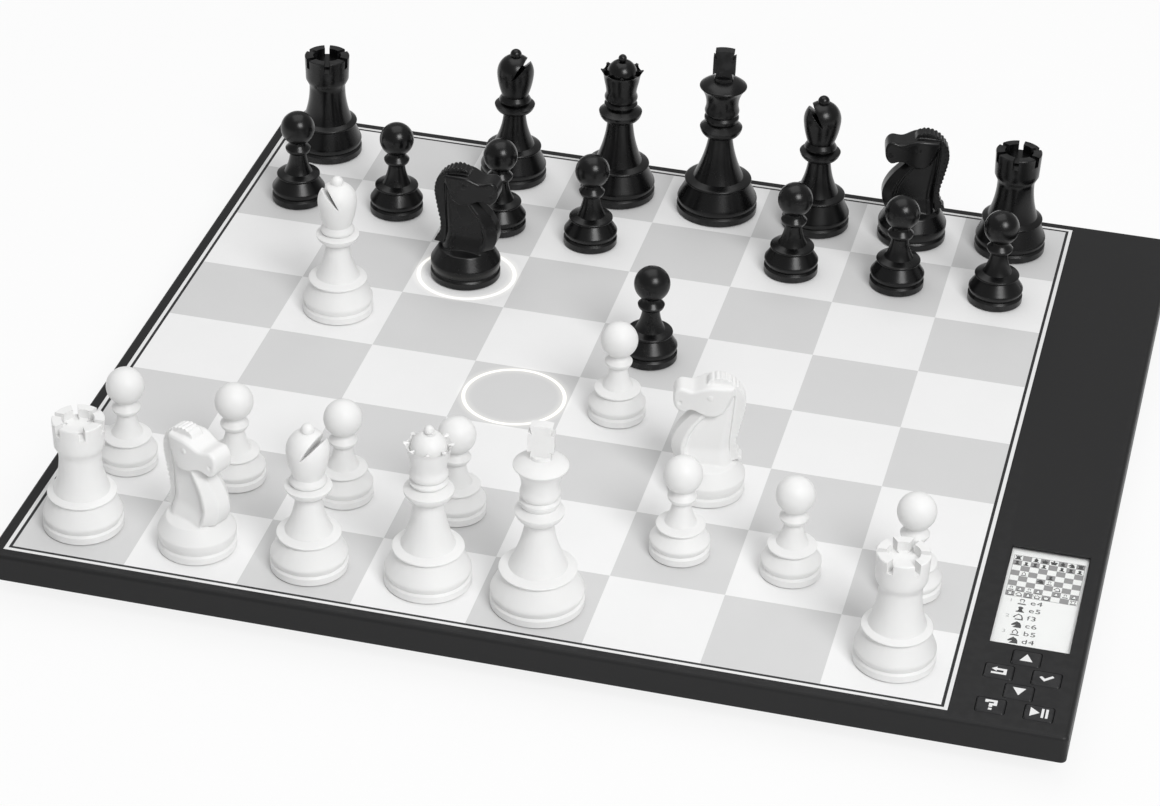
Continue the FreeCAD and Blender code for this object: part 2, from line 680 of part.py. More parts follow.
def main_board():
    half = MAIN_BOARD_WIDTH / 2
    plate = block(PANEL_AXIS_X - half, PANEL_AXIS_X + half, MAIN_BOARD_FRONT, MAIN_BOARD_REAR,
                  MAIN_BOARD_Z, MAIN_BOARD_TOP)
    return plate.cut([rod(x, y, SCREW_RADIUS + SCREW_PASS, MAIN_BOARD_Z, MAIN_BOARD_TOP)
                      for x, y in main_board_post_places()])


def processor_module():
    """Shielded computer module with rounded can corners."""
    half = SHIELD_SIDE / 2
    y = MAIN_BOARD_FRONT + MODULE_FROM_FRONT
    return rounded_plate(PANEL_AXIS_X - half, PANEL_AXIS_X + half, y - half, y + half, MAIN_BOARD_TOP,
                         MAIN_BOARD_TOP + SHIELD_HEIGHT, SHIELD_CORNER)


def buzzer():
    y = MAIN_BOARD_FRONT + BUZZER_FROM_FRONT
    can = rod(PANEL_AXIS_X, y, BUZZER_DIAMETER / 2, MAIN_BOARD_TOP, MAIN_BOARD_TOP + BUZZER_HEIGHT)
    hole = rod(PANEL_AXIS_X, y, BUZZER_SOUND_HOLE / 2, MAIN_BOARD_TOP + BUZZER_HEIGHT / 2,
               MAIN_BOARD_TOP + BUZZER_HEIGHT)
    return can.cut(hole)


def charge_socket():
    """Metal shell with round ends and an open mouth towards the rear slot."""
    half = SOCKET_WIDTH / 2
    tall = SOCKET_HEIGHT / 2
    shell = rounded_plate(-half, half, -tall, tall, 0, SOCKET_DEPTH, tall - SOCKET_WALL)
    mouth = rounded_plate(-half + SOCKET_WALL, half - SOCKET_WALL, -tall + SOCKET_WALL, tall - SOCKET_WALL,
                          0, SOCKET_DEPTH - SOCKET_FLOOR, tall - 2 * SOCKET_WALL)
    shell = shell.cut(mouth)
    shell.rotate(vec(0, 0, 0), vec(1, 0, 0), 90)
    shell.translate(vec(PANEL_AXIS_X, REAR - SKIRT_WALL - SOCKET_TO_WALL, socket_centre_z()))
    return shell


def battery_pack():
    cell = centred(BATTERY_X, 0, BATTERY_LENGTH, BATTERY_WIDTH, FLOOR_Z, FLOOR_Z + BATTERY_THICKNESS)
    long_edges = [edge for edge in cell.Edges if edge.BoundBox.XLength > BATTERY_LENGTH / 2]
    return cell.makeFillet(BATTERY_EDGE, long_edges)


def battery_bracket():
    """Bent strap over the battery, with a foot on the floor at each side."""
    top = FLOOR_Z + BATTERY_THICKNESS
    half = BATTERY_WIDTH / 2 + BATTERY_CLEARANCE
    outside = centred(BATTERY_X, 0, STRAP_WIDTH, 2 * (half + STRAP_THICKNESS), FLOOR_Z, top + STRAP_THICKNESS)
    strap = outside.cut(centred(BATTERY_X, 0, STRAP_WIDTH, 2 * half, FLOOR_Z, top))
    reach = 2 * (half + STRAP_FOOT)
    feet = centred(BATTERY_X, 0, STRAP_WIDTH, reach, FLOOR_Z, FLOOR_Z + STRAP_THICKNESS)
    feet = feet.cut(centred(BATTERY_X, 0, STRAP_WIDTH, 2 * half, FLOOR_Z, FLOOR_Z + STRAP_THICKNESS))
    return strap.fuse(feet).removeSplitter()


def display_window():
    return centred(PANEL_AXIS_X, WINDOW_CENTRE_Y, WINDOW_WIDTH + 2 * PANE_SIDE_LAP,
                   WINDOW_LENGTH + 2 * PANE_END_LAP, PANE_Z, POCKET_TOP)


def epaper_display():
    half = SCREEN_WIDTH / 2
    return block(PANEL_AXIS_X - half, PANEL_AXIS_X + half, SCREEN_FRONT, SCREEN_REAR, SCREEN_Z, PANE_Z)


def display_bracket():
    """Plate that holds the screen up against the pane, notched for the cable, with two side ears."""
    half = SCREEN_WIDTH / 2 + POCKET_CLEARANCE
    left = PANEL_AXIS_X - half
    plate = block(left, PANEL_AXIS_X + half, SCREEN_FRONT, SCREEN_REAR + BRACKET_TAIL, BRACKET_Z, SCREEN_Z)
    ears = []
    for x, y in bracket_screw_places():
        if x < left:
            ears.append(rod(x, y, SCREW_HEAD_RADIUS, BRACKET_Z, SCREEN_Z))
            ears.append(block(x, left, y - SCREW_HEAD_RADIUS, y + SCREW_HEAD_RADIUS, BRACKET_Z, SCREEN_Z))
    cuts = [rod(x, y, SCREW_RADIUS + SCREW_PASS, BRACKET_Z, SCREEN_Z) for x, y in bracket_screw_places()]
    cuts.append(block(PANEL_AXIS_X - tail_half(), PANEL_AXIS_X + tail_half(), SCREEN_REAR,
                      SCREEN_REAR + BRACKET_TAIL, BRACKET_Z, SCREEN_Z))
    return plate.multiFuse(ears).removeSplitter().cut(cuts)


def ribbon(points, along, width, offset):
    """Flat cable: a bent strip through level points, given as (distance, lower height)."""
    upper = [(distance, z + CABLE_THICKNESS) for distance, z in reversed(points)]
    loop = list(points) + upper + [points[0]]
    if along == "x":
        face = Part.Face(Part.makePolygon([vec(d, offset - width / 2, z) for d, z in loop]))
        return face.extrude(vec(0, width, 0))
    face = Part.Face(Part.makePolygon([vec(offset - width / 2, d, z) for d, z in loop]))
    return face.extrude(vec(width, 0, 0))


def screen_cable():
    """Tail of the screen: out of its rear edge, round a bend and down onto the main board."""
    high = SCREEN_Z + SCREEN_THICKNESS / 2
    turn_y = SCREEN_REAR + SCREEN_CABLE_OUT
    bend = SCREEN_CABLE_BEND
    low = MAIN_BOARD_TOP
    down_y = turn_y + bend
    land_y = down_y + bend
    sides = []
    for grow in (0, CABLE_THICKNESS):
        first = bend + grow
        second = bend - grow
        sides.append([
            Part.makeLine(vec(0, SCREEN_REAR, high + grow), vec(0, turn_y, high + grow)),
            Part.Arc(vec(0, turn_y, high + grow),
                     vec(0, turn_y + first * math.sqrt(0.5), high - bend + first * math.sqrt(0.5)),
                     vec(0, down_y + grow, high - bend)).toShape(),
            Part.makeLine(vec(0, down_y + grow, high - bend), vec(0, down_y + grow, low + bend)),
            Part.Arc(vec(0, down_y + grow, low + bend),
                     vec(0, land_y - second * math.sqrt(0.5), low + bend - second * math.sqrt(0.5)),
                     vec(0, land_y, low + grow)).toShape(),
            Part.makeLine(vec(0, land_y, low + grow), vec(0, MAIN_BOARD_FRONT + CABLE_LAP, low + grow)),
        ])
    ends = [Part.makeLine(sides[0][step].Vertexes[step].Point, sides[1][step].Vertexes[step].Point)
            for step in (0, -1)]
    face = Part.Face(Part.Wire(Part.__sortEdges__(sides[0] + sides[1] + ends)))
    tail = face.extrude(vec(SCREEN_CABLE_WIDTH, 0, 0))
    tail.translate(vec(PANEL_AXIS_X - SCREEN_CABLE_WIDTH / 2, 0, 0))
    return tail


def flat_cables():
    """Screen tail, field cable and key cable."""
    sensor_edge = FIELD_X + SENSOR_HALF
    board_edge = PANEL_AXIS_X - MAIN_BOARD_WIDTH / 2
    hang = SENSOR_Z - CABLE_THICKNESS
    field = ribbon([(sensor_edge - CABLE_LAP, hang), (sensor_edge, hang), (board_edge, MAIN_BOARD_TOP),
                    (board_edge + CABLE_LAP, MAIN_BOARD_TOP)], "x", FIELD_CABLE_WIDTH, 0)
    key_rear = KEY_FIRST_ROW_Y + KEY_LENGTH / 2 + KEY_BOARD_MARGIN
    key = ribbon([(key_rear - CABLE_LAP / 2, KEY_BOARD_TOP), (key_rear, KEY_BOARD_TOP),
                  (MAIN_BOARD_FRONT, MAIN_BOARD_TOP), (MAIN_BOARD_FRONT + CABLE_LAP, MAIN_BOARD_TOP)],
                 "y", KEY_CABLE_WIDTH, PANEL_AXIS_X + KEY_COLUMN + KEY_CABLE_WIDTH / 2 - SWITCH_SIDE / 2)
    return Part.makeCompound([screen_cable(), field, key])


def key_board_limits():
    """Front, rear and half width of the board under the keys."""
    rows = [row for _, row in KEYS.values()]
    front = KEY_FIRST_ROW_Y - max(rows) * KEY_ROW - SWITCH_SIDE / 2 - KEY_BOARD_MARGIN
    rear = KEY_FIRST_ROW_Y + KEY_LENGTH / 2 + KEY_BOARD_MARGIN
    return front, rear, KEY_COLUMN + SWITCH_SIDE / 2 + KEY_BOARD_MARGIN


def key_board_post_places():
    front, rear, half = key_board_limits()
    yield (PANEL_AXIS_X - half + POST_RADIUS, rear - POST_RADIUS)
    yield (PANEL_AXIS_X + half - POST_RADIUS, rear - POST_RADIUS)
    yield (PANEL_AXIS_X, front + POST_RADIUS)


def key_board():
    front, rear, half = key_board_limits()
    return block(PANEL_AXIS_X - half, PANEL_AXIS_X + half, front, rear, KEY_BOARD_Z, KEY_BOARD_TOP)


def key_switches():
    """Low tactile switches, one under each key."""
    switches = []
    for name in KEYS:
        x, y = key_place(name)
        body = centred(x, y, SWITCH_SIDE, SWITCH_SIDE, KEY_BOARD_TOP, KEY_BOARD_TOP + SWITCH_HEIGHT)
        plunger = rod(x, y, PLUNGER_DIAMETER / 2, KEY_BOARD_TOP + SWITCH_HEIGHT, PLUNGER_TOP)
        switches.append(body.fuse(plunger).removeSplitter())
    return Part.makeCompound(switches)


def key(name):
    """Key cap with bevelled top, a flange under the panel and a stem over its switch."""
    x, y = key_place(name)
    half_x = KEY_WIDTH / 2
    half_y = KEY_LENGTH / 2
    top = TOTAL_HEIGHT + KEY_PROUD
    cap = rounded_plate(x - half_x, x + half_x, y - half_y, y + half_y, KEY_FLANGE_Z, top, KEY_CORNER)
    cap = cap.makeChamfer(KEY_BEVEL, [edge for edge in cap.Edges if edge.BoundBox.ZMin > top - 1e-6])
    lap = KEY_CLEARANCE + KEY_FLANGE_LAP
    flange = rounded_plate(x - half_x - lap, x + half_x + lap, y - half_y - lap, y + half_y + lap,
                           KEY_FLANGE_Z, CEILING_Z, KEY_CORNER)
    stem = rod(x, y, KEY_STEM_DIAMETER / 2, KEY_STEM_Z, KEY_FLANGE_Z)
    return cap.multiFuse([flange, stem]).removeSplitter()


def turned(outline):
    """Revolve a half outline that starts and ends on the axis.

    Each step is (radius, z) for a straight line, or four numbers for an arc:
    a point that it passes and its end.
    """
    edges = []
    here = vec(outline[0][0], 0, outline[0][1])
    first = here
    for step in outline[1:]:
        there = vec(step[-2], 0, step[-1])
        if len(step) == 4:
            edges.append(Part.Arc(here, vec(step[0], 0, step[1]), there).toShape())
        else:
            edges.append(Part.makeLine(here, there))
        here = there
    edges.append(Part.makeLine(here, first))
    return Part.Face(Part.Wire(edges)).revolve(vec(0, 0, 0), vec(0, 0, 1), 360)


def pocket_steps(base_r):
    """Underside of a man: pocket for the sensing disc, then the felt, then the plinth's edge."""
    felt_r = base_r - FELT_INSET + POCKET_FIT
    tag_r = base_r - TAG_INSET + POCKET_FIT
    tag_top = FELT_THICKNESS + TAG_THICKNESS
    return [
        (0, tag_top),
        (tag_r, tag_top),
        (tag_r, FELT_THICKNESS),
        (felt_r, FELT_THICKNESS),
        (felt_r, FELT_PROUD),
        (base_r - EDGE_CHAMFER, FELT_PROUD),
        (base_r, FELT_PROUD + EDGE_CHAMFER),
    ]


def base_steps(base_d, seat_r, seat_z):
    """Plinth, groove and the bulge above it, up to where the bulge ends."""
    base_r = base_d / 2
    groove_top = PLINTH_HEIGHT + GROOVE_HEIGHT
    return pocket_steps(base_r) + [
        (base_r, PLINTH_HEIGHT - EDGE_CHAMFER),
        (base_r - EDGE_CHAMFER, PLINTH_HEIGHT),
        (base_r - GROOVE_DEPTH, PLINTH_HEIGHT + GROOVE_HEIGHT / 3),
        (base_r - GROOVE_DEPTH / 2, groove_top),
        (base_r, groove_top + BULGE_RISE, seat_r, seat_z),
    ]


def stem_steps(base_d, rim_d, rim_z, foot_d, sag, neck_d, neck_z):
    """Base, overhanging rim and the hollow-sided stem up to the neck."""
    rim_r = rim_d / 2 - RIM_BEAD
    edge_z = rim_z + RIM_SLOPE
    foot_z = edge_z + RIM_EDGE + SHOULDER
    middle_r = (foot_d + neck_d) / 4 - sag
    return base_steps(base_d, rim_r - RIM_OVERHANG, rim_z) + [
        (rim_r, edge_z),
        (rim_r + RIM_BEAD, edge_z + RIM_EDGE / 2, rim_r, edge_z + RIM_EDGE),
        (foot_d / 2, foot_z),
        (middle_r, (foot_z + neck_z) / 2, neck_d / 2, neck_z),
    ]


def bead_steps(low_r, low_z, bead_d, bead_z, high_r, high_z):
    """Rounded bead or collar: out to its widest circle and in again."""
    bead_r = bead_d / 2
    swell_r = (low_r + bead_r) / 2 + (bead_r - low_r) / 6
    swell_z = (low_z + bead_z) / 2 - (bead_z - low_z) / 6
    return [
        (swell_r, swell_z, bead_r, bead_z),
        (high_r, high_z),
    ]


def felt_and_tag(base_d):
    """Felt pad and sensing disc in the base of each man."""
    felt = rod(0, 0, base_d / 2 - FELT_INSET, 0, FELT_THICKNESS)
    tag = rod(0, 0, base_d / 2 - TAG_INSET, FELT_THICKNESS, FELT_THICKNESS + TAG_THICKNESS)
    return [felt, tag]


def ball_steps(neck_r, ball_d, top_z):
    """From a neck of the given radius round a ball to the top of the axis."""
    ball_r = ball_d / 2
    centre_z = top_z - ball_r
    return [
        (neck_r, centre_z - math.sqrt(ball_r ** 2 - neck_r ** 2)),
        (ball_r, centre_z, 0, top_z),
    ]


def pawn():
    top_r = PAWN_COLLAR_TOP_D / 2
    outline = stem_steps(PAWN_BASE_D, PAWN_RIM_D, PAWN_RIM_Z, PAWN_FOOT_D, PAWN_STEM_SAG,
                         PAWN_NECK_D, PAWN_NECK_Z)
    outline += bead_steps(PAWN_NECK_D / 2, PAWN_NECK_Z, PAWN_COLLAR_D, PAWN_COLLAR_Z,
                          top_r, PAWN_COLLAR_TOP_Z)
    outline += ball_steps(top_r - EDGE_CHAMFER, PAWN_BALL_D, PAWN_HEIGHT)
    return [turned(outline)] + felt_and_tag(PAWN_BASE_D)


def rook():
    top_r = ROOK_TOP_D / 2
    inner_r = top_r - ROOK_WALL
    floor_z = ROOK_HEIGHT - ROOK_CUP_DEPTH
    outline = stem_steps(ROOK_BASE_D, ROOK_RIM_D, ROOK_RIM_Z, ROOK_FOOT_D, ROOK_STEM_SAG,
                         ROOK_NECK_D, ROOK_NECK_Z)
    outline += [
        (ROOK_HEAD_D / 2, ROOK_HEAD_Z),
        (top_r, ROOK_HEIGHT - EDGE_CHAMFER),
        (top_r - EDGE_CHAMFER, ROOK_HEIGHT),
        (inner_r, ROOK_HEIGHT),
        (inner_r, floor_z),
        (0, floor_z),
    ]
    tower = turned(outline)
    slots = []
    for number in range(ROOK_SLOTS):
        slot = block(inner_r - ROOK_WALL, ROOK_TOP_D, -ROOK_SLOT_WIDTH / 2, ROOK_SLOT_WIDTH / 2,
                     ROOK_HEIGHT - ROOK_SLOT_DEPTH, ROOK_HEIGHT)
        slot.rotate(vec(0, 0, 0), vec(0, 0, 1), number * 360 / ROOK_SLOTS)
        slots.append(slot)
    return [tower.cut(slots)] + felt_and_tag(ROOK_BASE_D)


def bishop():
    neck = BISHOP_NECK_D / 2
    foot = BISHOP_MITRE_FOOT_D / 2
    top_r = BISHOP_MITRE_TOP_D / 2
    outline = stem_steps(BISHOP_BASE_D, BISHOP_RIM_D, BISHOP_RIM_Z, BISHOP_FOOT_D, BISHOP_STEM_SAG,
                         BISHOP_NECK_D, BISHOP_NECK_Z)
    outline += bead_steps(neck, BISHOP_NECK_Z, BISHOP_COLLAR_D, BISHOP_COLLAR_Z, foot + EDGE_CHAMFER,
                          BISHOP_COLLAR_Z + SHOULDER)
    outline += bead_steps(foot + EDGE_CHAMFER, BISHOP_COLLAR_Z + SHOULDER, BISHOP_RING_D, BISHOP_RING_Z,
                          foot, BISHOP_MITRE_FOOT_Z)
    middle_z = (BISHOP_MITRE_FOOT_Z + BISHOP_MITRE_Z) / 2
    outline += [
        ((foot + BISHOP_MITRE_D / 2) / 2 + BISHOP_MITRE_FULL, middle_z, BISHOP_MITRE_D / 2, BISHOP_MITRE_Z),
        (BISHOP_MITRE_D / 2 * math.cos(math.radians(45)) + BISHOP_MITRE_FULL,
         BISHOP_MITRE_Z + (BISHOP_MITRE_TOP_Z - BISHOP_MITRE_Z) * math.sin(math.radians(45)),
         top_r, BISHOP_MITRE_TOP_Z),
        (0, BISHOP_MITRE_TOP_Z),
    ]
    ball_r = BISHOP_BALL_D / 2
    ball = Part.makeSphere(ball_r, vec(0, 0, BISHOP_HEIGHT - ball_r))
    length = BISHOP_HEIGHT - BISHOP_SLIT_Z
    slit = centred(0, 0, BISHOP_SLIT_WIDTH, BISHOP_MITRE_D, 0, length)
    slit.rotate(vec(0, 0, 0), vec(0, 1, 0), BISHOP_SLIT_TILT)
    slit.translate(vec(BISHOP_SLIT_REACH, 0, BISHOP_SLIT_Z))
    return [turned(outline).cut(slit).fuse(ball)] + felt_and_tag(BISHOP_BASE_D)


def collar_and_rings(neck_d, neck_z, collar_d, collar_z, ring_d, ring_z, upper_z, foot_d, foot_z):
    """Neck collar, two rings above it and the foot of the cup, as on king and queen."""
    waist = foot_d / 2 - RING_GROOVE
    steps = bead_steps(neck_d / 2, neck_z, collar_d, collar_z, waist, collar_z + 2 * SHOULDER)
    steps += bead_steps(waist, collar_z + 2 * SHOULDER, ring_d, ring_z, waist, ring_z + SHOULDER)
    steps += bead_steps(waist, ring_z + SHOULDER, ring_d, upper_z, foot_d / 2, foot_z)
    return steps


def queen():
    crown_r = QUEEN_CROWN_D / 2
    inner_r = crown_r - QUEEN_CROWN_WALL
    dome_r = QUEEN_DOME_D / 2
    ball_r = QUEEN_BALL_D / 2
    foot = QUEEN_CUP_FOOT_D / 2
    outline = stem_steps(QUEEN_BASE_D, QUEEN_RIM_D, QUEEN_RIM_Z, QUEEN_FOOT_D, QUEEN_STEM_SAG,
                         QUEEN_NECK_D, QUEEN_NECK_Z)
    outline += collar_and_rings(QUEEN_NECK_D, QUEEN_NECK_Z, QUEEN_COLLAR_D, QUEEN_COLLAR_Z, QUEEN_RING_D,
                                QUEEN_RING_Z, QUEEN_UPPER_RING_Z, QUEEN_CUP_FOOT_D, QUEEN_CUP_FOOT_Z)
    outline += [
        ((foot + crown_r) / 2 - QUEEN_CUP_SAG, (QUEEN_CUP_FOOT_Z + QUEEN_CROWN_Z) / 2,
         crown_r, QUEEN_CROWN_Z),
        (inner_r, QUEEN_CROWN_Z),
        (dome_r, QUEEN_GUTTER_Z),
        (0, QUEEN_GUTTER_Z),
    ]
    dome = Part.makeSphere(dome_r, vec(0, 0, QUEEN_DOME_Z - dome_r))
    ball = Part.makeSphere(ball_r, vec(0, 0, QUEEN_HEIGHT - ball_r))
    scallops = []
    for number in range(QUEEN_POINTS):
        start = vec(dome_r + EDGE_CHAMFER, 0, QUEEN_CROWN_Z + QUEEN_SCALLOP_RAISE)
        scallop = Part.makeCylinder(QUEEN_SCALLOP_D / 2, QUEEN_CROWN_D, start, vec(1, 0, 0))
        scallop.rotate(vec(0, 0, 0), vec(0, 0, 1), number * 360 / QUEEN_POINTS)
        scallops.append(scallop)
    return [turned(outline).cut(scallops).multiFuse([dome, ball])] + felt_and_tag(QUEEN_BASE_D)


def king_cross():
    """Thick cross with flared arms and a slightly crowned top."""
    half = KING_CROSS_WIDTH / 2
    depth = KING_CROSS_THICKNESS
    flare = KING_CROSS_FLARE
    root = KING_CROSS_ROOT
    low = KING_CROSS_BOTTOM_Z - KING_CROSS_Z
    top = KING_HEIGHT - KING_CROSS_CROWN - KING_CROSS_Z
    corners = [(flare, top), (root, root), (half, flare), (half, -flare), (root, -root), (flare, low)]
    left = [(-x, z) for x, z in reversed(corners)]
    points = [vec(x, -depth / 2, KING_CROSS_Z + z) for x, z in corners + left]
    edges = [Part.makeLine(start, end) for start, end in zip(points, points[1:])]
    edges.append(Part.Arc(points[-1], vec(0, -depth / 2, KING_HEIGHT), points[0]).toShape())
    return Part.Face(Part.Wire(edges)).extrude(vec(0, depth, 0))


def king():
    foot = KING_CUP_FOOT_D / 2
    cup = KING_CUP_D / 2 - RIM_BEAD
    dome_r = KING_DOME_TOP_D / 2
    outline = stem_steps(KING_BASE_D, KING_RIM_D, KING_RIM_Z, KING_FOOT_D, KING_STEM_SAG,
                         KING_NECK_D, KING_NECK_Z)
    outline += collar_and_rings(KING_NECK_D, KING_NECK_Z, KING_COLLAR_D, KING_COLLAR_Z, KING_RING_D,
                                KING_RING_Z, KING_UPPER_RING_Z, KING_CUP_FOOT_D, KING_CUP_FOOT_Z)
    dome_z = KING_CUP_Z + RIM_EDGE
    outline += [
        ((foot + cup) / 2 - KING_CUP_SAG, (KING_CUP_FOOT_Z + KING_CUP_Z) / 2, cup, KING_CUP_Z),
        (cup + RIM_BEAD, KING_CUP_Z + RIM_EDGE / 2, cup, dome_z),
        ((cup + dome_r) / 2 + RIM_BEAD, (dome_z + KING_DOME_TOP_Z) / 2 + RIM_BEAD, dome_r, KING_DOME_TOP_Z),
        (dome_r - EDGE_CHAMFER, KING_DOME_TOP_Z + SHOULDER),
        (0, KING_DOME_TOP_Z + SHOULDER),
    ]
    return [turned(outline).fuse(king_cross())] + felt_and_tag(KING_BASE_D)


def neck_section(z, back, front, half, back_radius, bevel):
    """Level slice through the knight's neck: flat sides, round back corners and bevelled front corners."""
    turn = back_radius * (1 - math.sqrt(0.5))
    low_start = vec(back + back_radius, -half, z)
    low_end = vec(front - bevel, -half, z)
    high_start = vec(front - bevel, half, z)
    high_end = vec(back + back_radius, half, z)
    front_low = vec(front, -half + bevel, z)
    front_high = vec(front, half - bevel, z)
    back_high = vec(back, half - back_radius, z)
    back_low = vec(back, -half + back_radius, z)
    return Part.Wire([
        Part.makeLine(low_start, low_end),
        Part.makeLine(low_end, front_low),
        Part.makeLine(front_low, front_high),
        Part.makeLine(front_high, high_start),
        Part.makeLine(high_start, high_end),
        Part.Arc(high_end, vec(back + turn, half - turn, z), back_high).toShape(),
        Part.makeLine(back_high, back_low),
        Part.Arc(back_low, vec(back + turn, -half + turn, z), low_start).toShape(),
    ])


def side_curve(points):
    """Smooth edge through points drawn from the side."""
    curve = Part.BSplineCurve()
    curve.interpolate([vec(x, 0, z) for x, z in points])
    return curve.toShape()


def both_ways(edges, half):
    """Slab of the given half thickness whose side view is the closed run of edges."""
    slab = Part.Face(Part.Wire(edges)).extrude(vec(0, 2 * half, 0))
    slab.translate(vec(0, -half, 0))
    return slab


def knight_neck():
    return Part.makeLoft([neck_section(*one) for one in KNIGHT_NECK], True, False)


def knight_head():
    """Slab with a bevelled brow and nose, swollen at the cheek and thinner towards the nose."""
    widest = max(half for _, half in KNIGHT_HEAD_PLAN)
    slab = both_ways([side_curve(KNIGHT_HEAD_TOP), side_curve(KNIGHT_JAW)], widest + KNIGHT_EYE_PROUD)
    sides = []
    for side in (-1, 1):
        curve = Part.BSplineCurve()
        curve.interpolate([vec(x, side * half, 0) for x, half in KNIGHT_HEAD_PLAN])
        sides.append(curve.toShape())
    ends = [Part.makeLine(vec(x, -half, 0), vec(x, half, 0))
            for x, half in (KNIGHT_HEAD_PLAN[0], KNIGHT_HEAD_PLAN[-1])]
    plan = Part.Face(Part.Wire([sides[0], ends[1], sides[1], ends[0]]))
    head = slab.common(plan.extrude(vec(0, 0, max(z for _, z in KNIGHT_CREST))))
    low = KNIGHT_HEAD_TOP[-1][1]
    high = max(z for _, z in KNIGHT_HEAD_TOP) - KNIGHT_BROW_BEVEL
    brow = [edge for edge in head.Edges if edge.BoundBox.ZMin < low + 1e-3 and edge.BoundBox.ZMax > high
            and edge.BoundBox.XMax > KNIGHT_HEAD_TOP[-1][0] + KNIGHT_BROW_BEVEL]
    return head.makeFillet(KNIGHT_BROW_BEVEL, brow)


def knight_mane():
    """Thin crest along the neck, toothed along its edge, that ends in a flick at the withers."""
    edge = side_curve(KNIGHT_CREST)
    points = [vec(x, 0, z) for x, z in [KNIGHT_CREST[-1]] + KNIGHT_MANE_INSIDE + [KNIGHT_CREST[0]]]
    lines = [Part.makeLine(start, end) for start, end in zip(points, points[1:])]
    mane = both_ways([edge] + lines, KNIGHT_MANE_HALF)
    count = int(edge.Length / KNIGHT_TOOTH_PITCH)
    radius = KNIGHT_TOOTH_D / 2
    grooves = []
    for number in range(2, count):
        at = edge.getParameterByLength(number * edge.Length / count)
        place = edge.valueAt(at)
        along = edge.tangentAt(at)
        inward = vec(-along.z, 0, along.x)
        across = place - vec(0, KNIGHT_MANE_HALF, 0)
        grooves.append(Part.makeCylinder(radius, 2 * KNIGHT_MANE_HALF, across, vec(0, 1, 0)))
        for side in (-1, 1):
            start = place + vec(0, side * KNIGHT_MANE_HALF, 0) - inward * radius
            grooves.append(Part.makeCylinder(KNIGHT_TOOTH_SIDE_D / 2, KNIGHT_TOOTH_LENGTH, start, inward))
    return mane.cut(grooves)


def head_half(x):
    """Half thickness of the head at a distance towards the nose."""
    for (start, low), (end, high) in zip(KNIGHT_HEAD_PLAN, KNIGHT_HEAD_PLAN[1:]):
        if start <= x <= end:
            return low + (x - start) / (end - start) * (high - low)


def knight():
    steps = base_steps(KNIGHT_BASE_D, KNIGHT_SEAT_D / 2, KNIGHT_SEAT_Z)
    steps.append((KNIGHT_SEAT_TOP_D / 2, KNIGHT_SEAT_Z + KNIGHT_SEAT_RISE))
    steps.append((0, KNIGHT_SEAT_Z + KNIGHT_SEAT_RISE))
    eye_half = head_half(KNIGHT_EYE[0]) + KNIGHT_EYE_PROUD
    start = vec(KNIGHT_EYE[0], -eye_half, KNIGHT_EYE[1])
    eyes = Part.makeCylinder(KNIGHT_EYE_D / 2, 2 * eye_half, start, vec(0, 1, 0))
    eyes = eyes.makeFillet(KNIGHT_EYE_PROUD / 2, [edge for edge in eyes.Edges if edge.Closed])
    horse = turned(steps).multiFuse([knight_neck(), knight_head(), knight_mane(), eyes])
    dimples = []
    for side in (-1, 1):
        at = side * (head_half(KNIGHT_NOSTRIL[0]) - KNIGHT_NOSTRIL_DEPTH + KNIGHT_NOSTRIL_D)
        dimples.append(Part.makeSphere(KNIGHT_NOSTRIL_D, vec(KNIGHT_NOSTRIL[0], at, KNIGHT_NOSTRIL[1])))
    return [horse.cut(dimples)] + felt_and_tag(KNIGHT_BASE_D)


# Where each man stands: its form, square, shift from the square's centre and turn in degrees
MEN = {
    "white_king": (king, "e1", -0.1, -1.5, 6),
    "white_queen": (queen, "d1", 1.5, 0.9, 35),
    "white_queens_rook": (rook, "a1", -1.9, -0.6, -61),
    "white_kings_rook": (rook, "h1", 1.3, 0.3, -50),
    "white_queens_bishop": (bishop, "c1", 0.3, -2.7, -10),
    "white_kings_bishop": (bishop, "b5", 0.0, 1.8, 190),
    "white_queens_knight": (knight, "b1", 0.0, -1.6, -24),
    "white_kings_knight": (knight, "f3", 0.2, 1.7, 192),
    "white_pawn_a": (pawn, "a2", 0.0, 0.1, 0),
    "white_pawn_b": (pawn, "b2", -0.5, 1.4, 0),
    "white_pawn_c": (pawn, "c2", -1.4, 2.1, 0),
    "white_pawn_d": (pawn, "d2", -0.7, 3.2, 0),
    "white_pawn_e": (pawn, "e4", -1.5, -0.9, 0),
    "white_pawn_f": (pawn, "f2", -0.6, 1.0, 0),
    "white_pawn_g": (pawn, "g2", -1.7, -0.7, 0),
    "white_pawn_h": (pawn, "h2", -0.5, 1.5, 0),
    "black_king": (king, "e8", 2.6, -1.7, 8),
    "black_queen": (queen, "d8", 1.2, 0.0, 35),
    "black_queens_rook": (rook, "a8", -1.2, 0.6, -73),
    "black_kings_rook": (rook, "h8", -0.3, 2.1, -90),
    "black_queens_bishop": (bishop, "c8", -3.3, 1.8, -28),
    "black_kings_bishop": (bishop, "f8", 2.8, -2.0, 203),
    "black_queens_knight": (knight, "c6", -0.6, 0.2, 0),
    "black_kings_knight": (knight, "g8", 1.0, -0.6, 192),
    "black_pawn_a": (pawn, "a7", -0.1, -2.0, 0),
    "black_pawn_b": (pawn, "b7", -0.1, 0.9, 0),
    "black_pawn_c": (pawn, "c7", 2.9, -0.2, 0),
    "black_pawn_d": (pawn, "d7", -0.1, -2.3, 0),
    "black_pawn_e": (pawn, "e5", 1.5, 1.4, 0),
    "black_pawn_f": (pawn, "f7", 0.1, -1.4, 0),
    "black_pawn_g": (pawn, "g7", 1.8, 0.7, 0),
    "black_pawn_h": (pawn, "h7", -0.1, 0.3, 0),
}


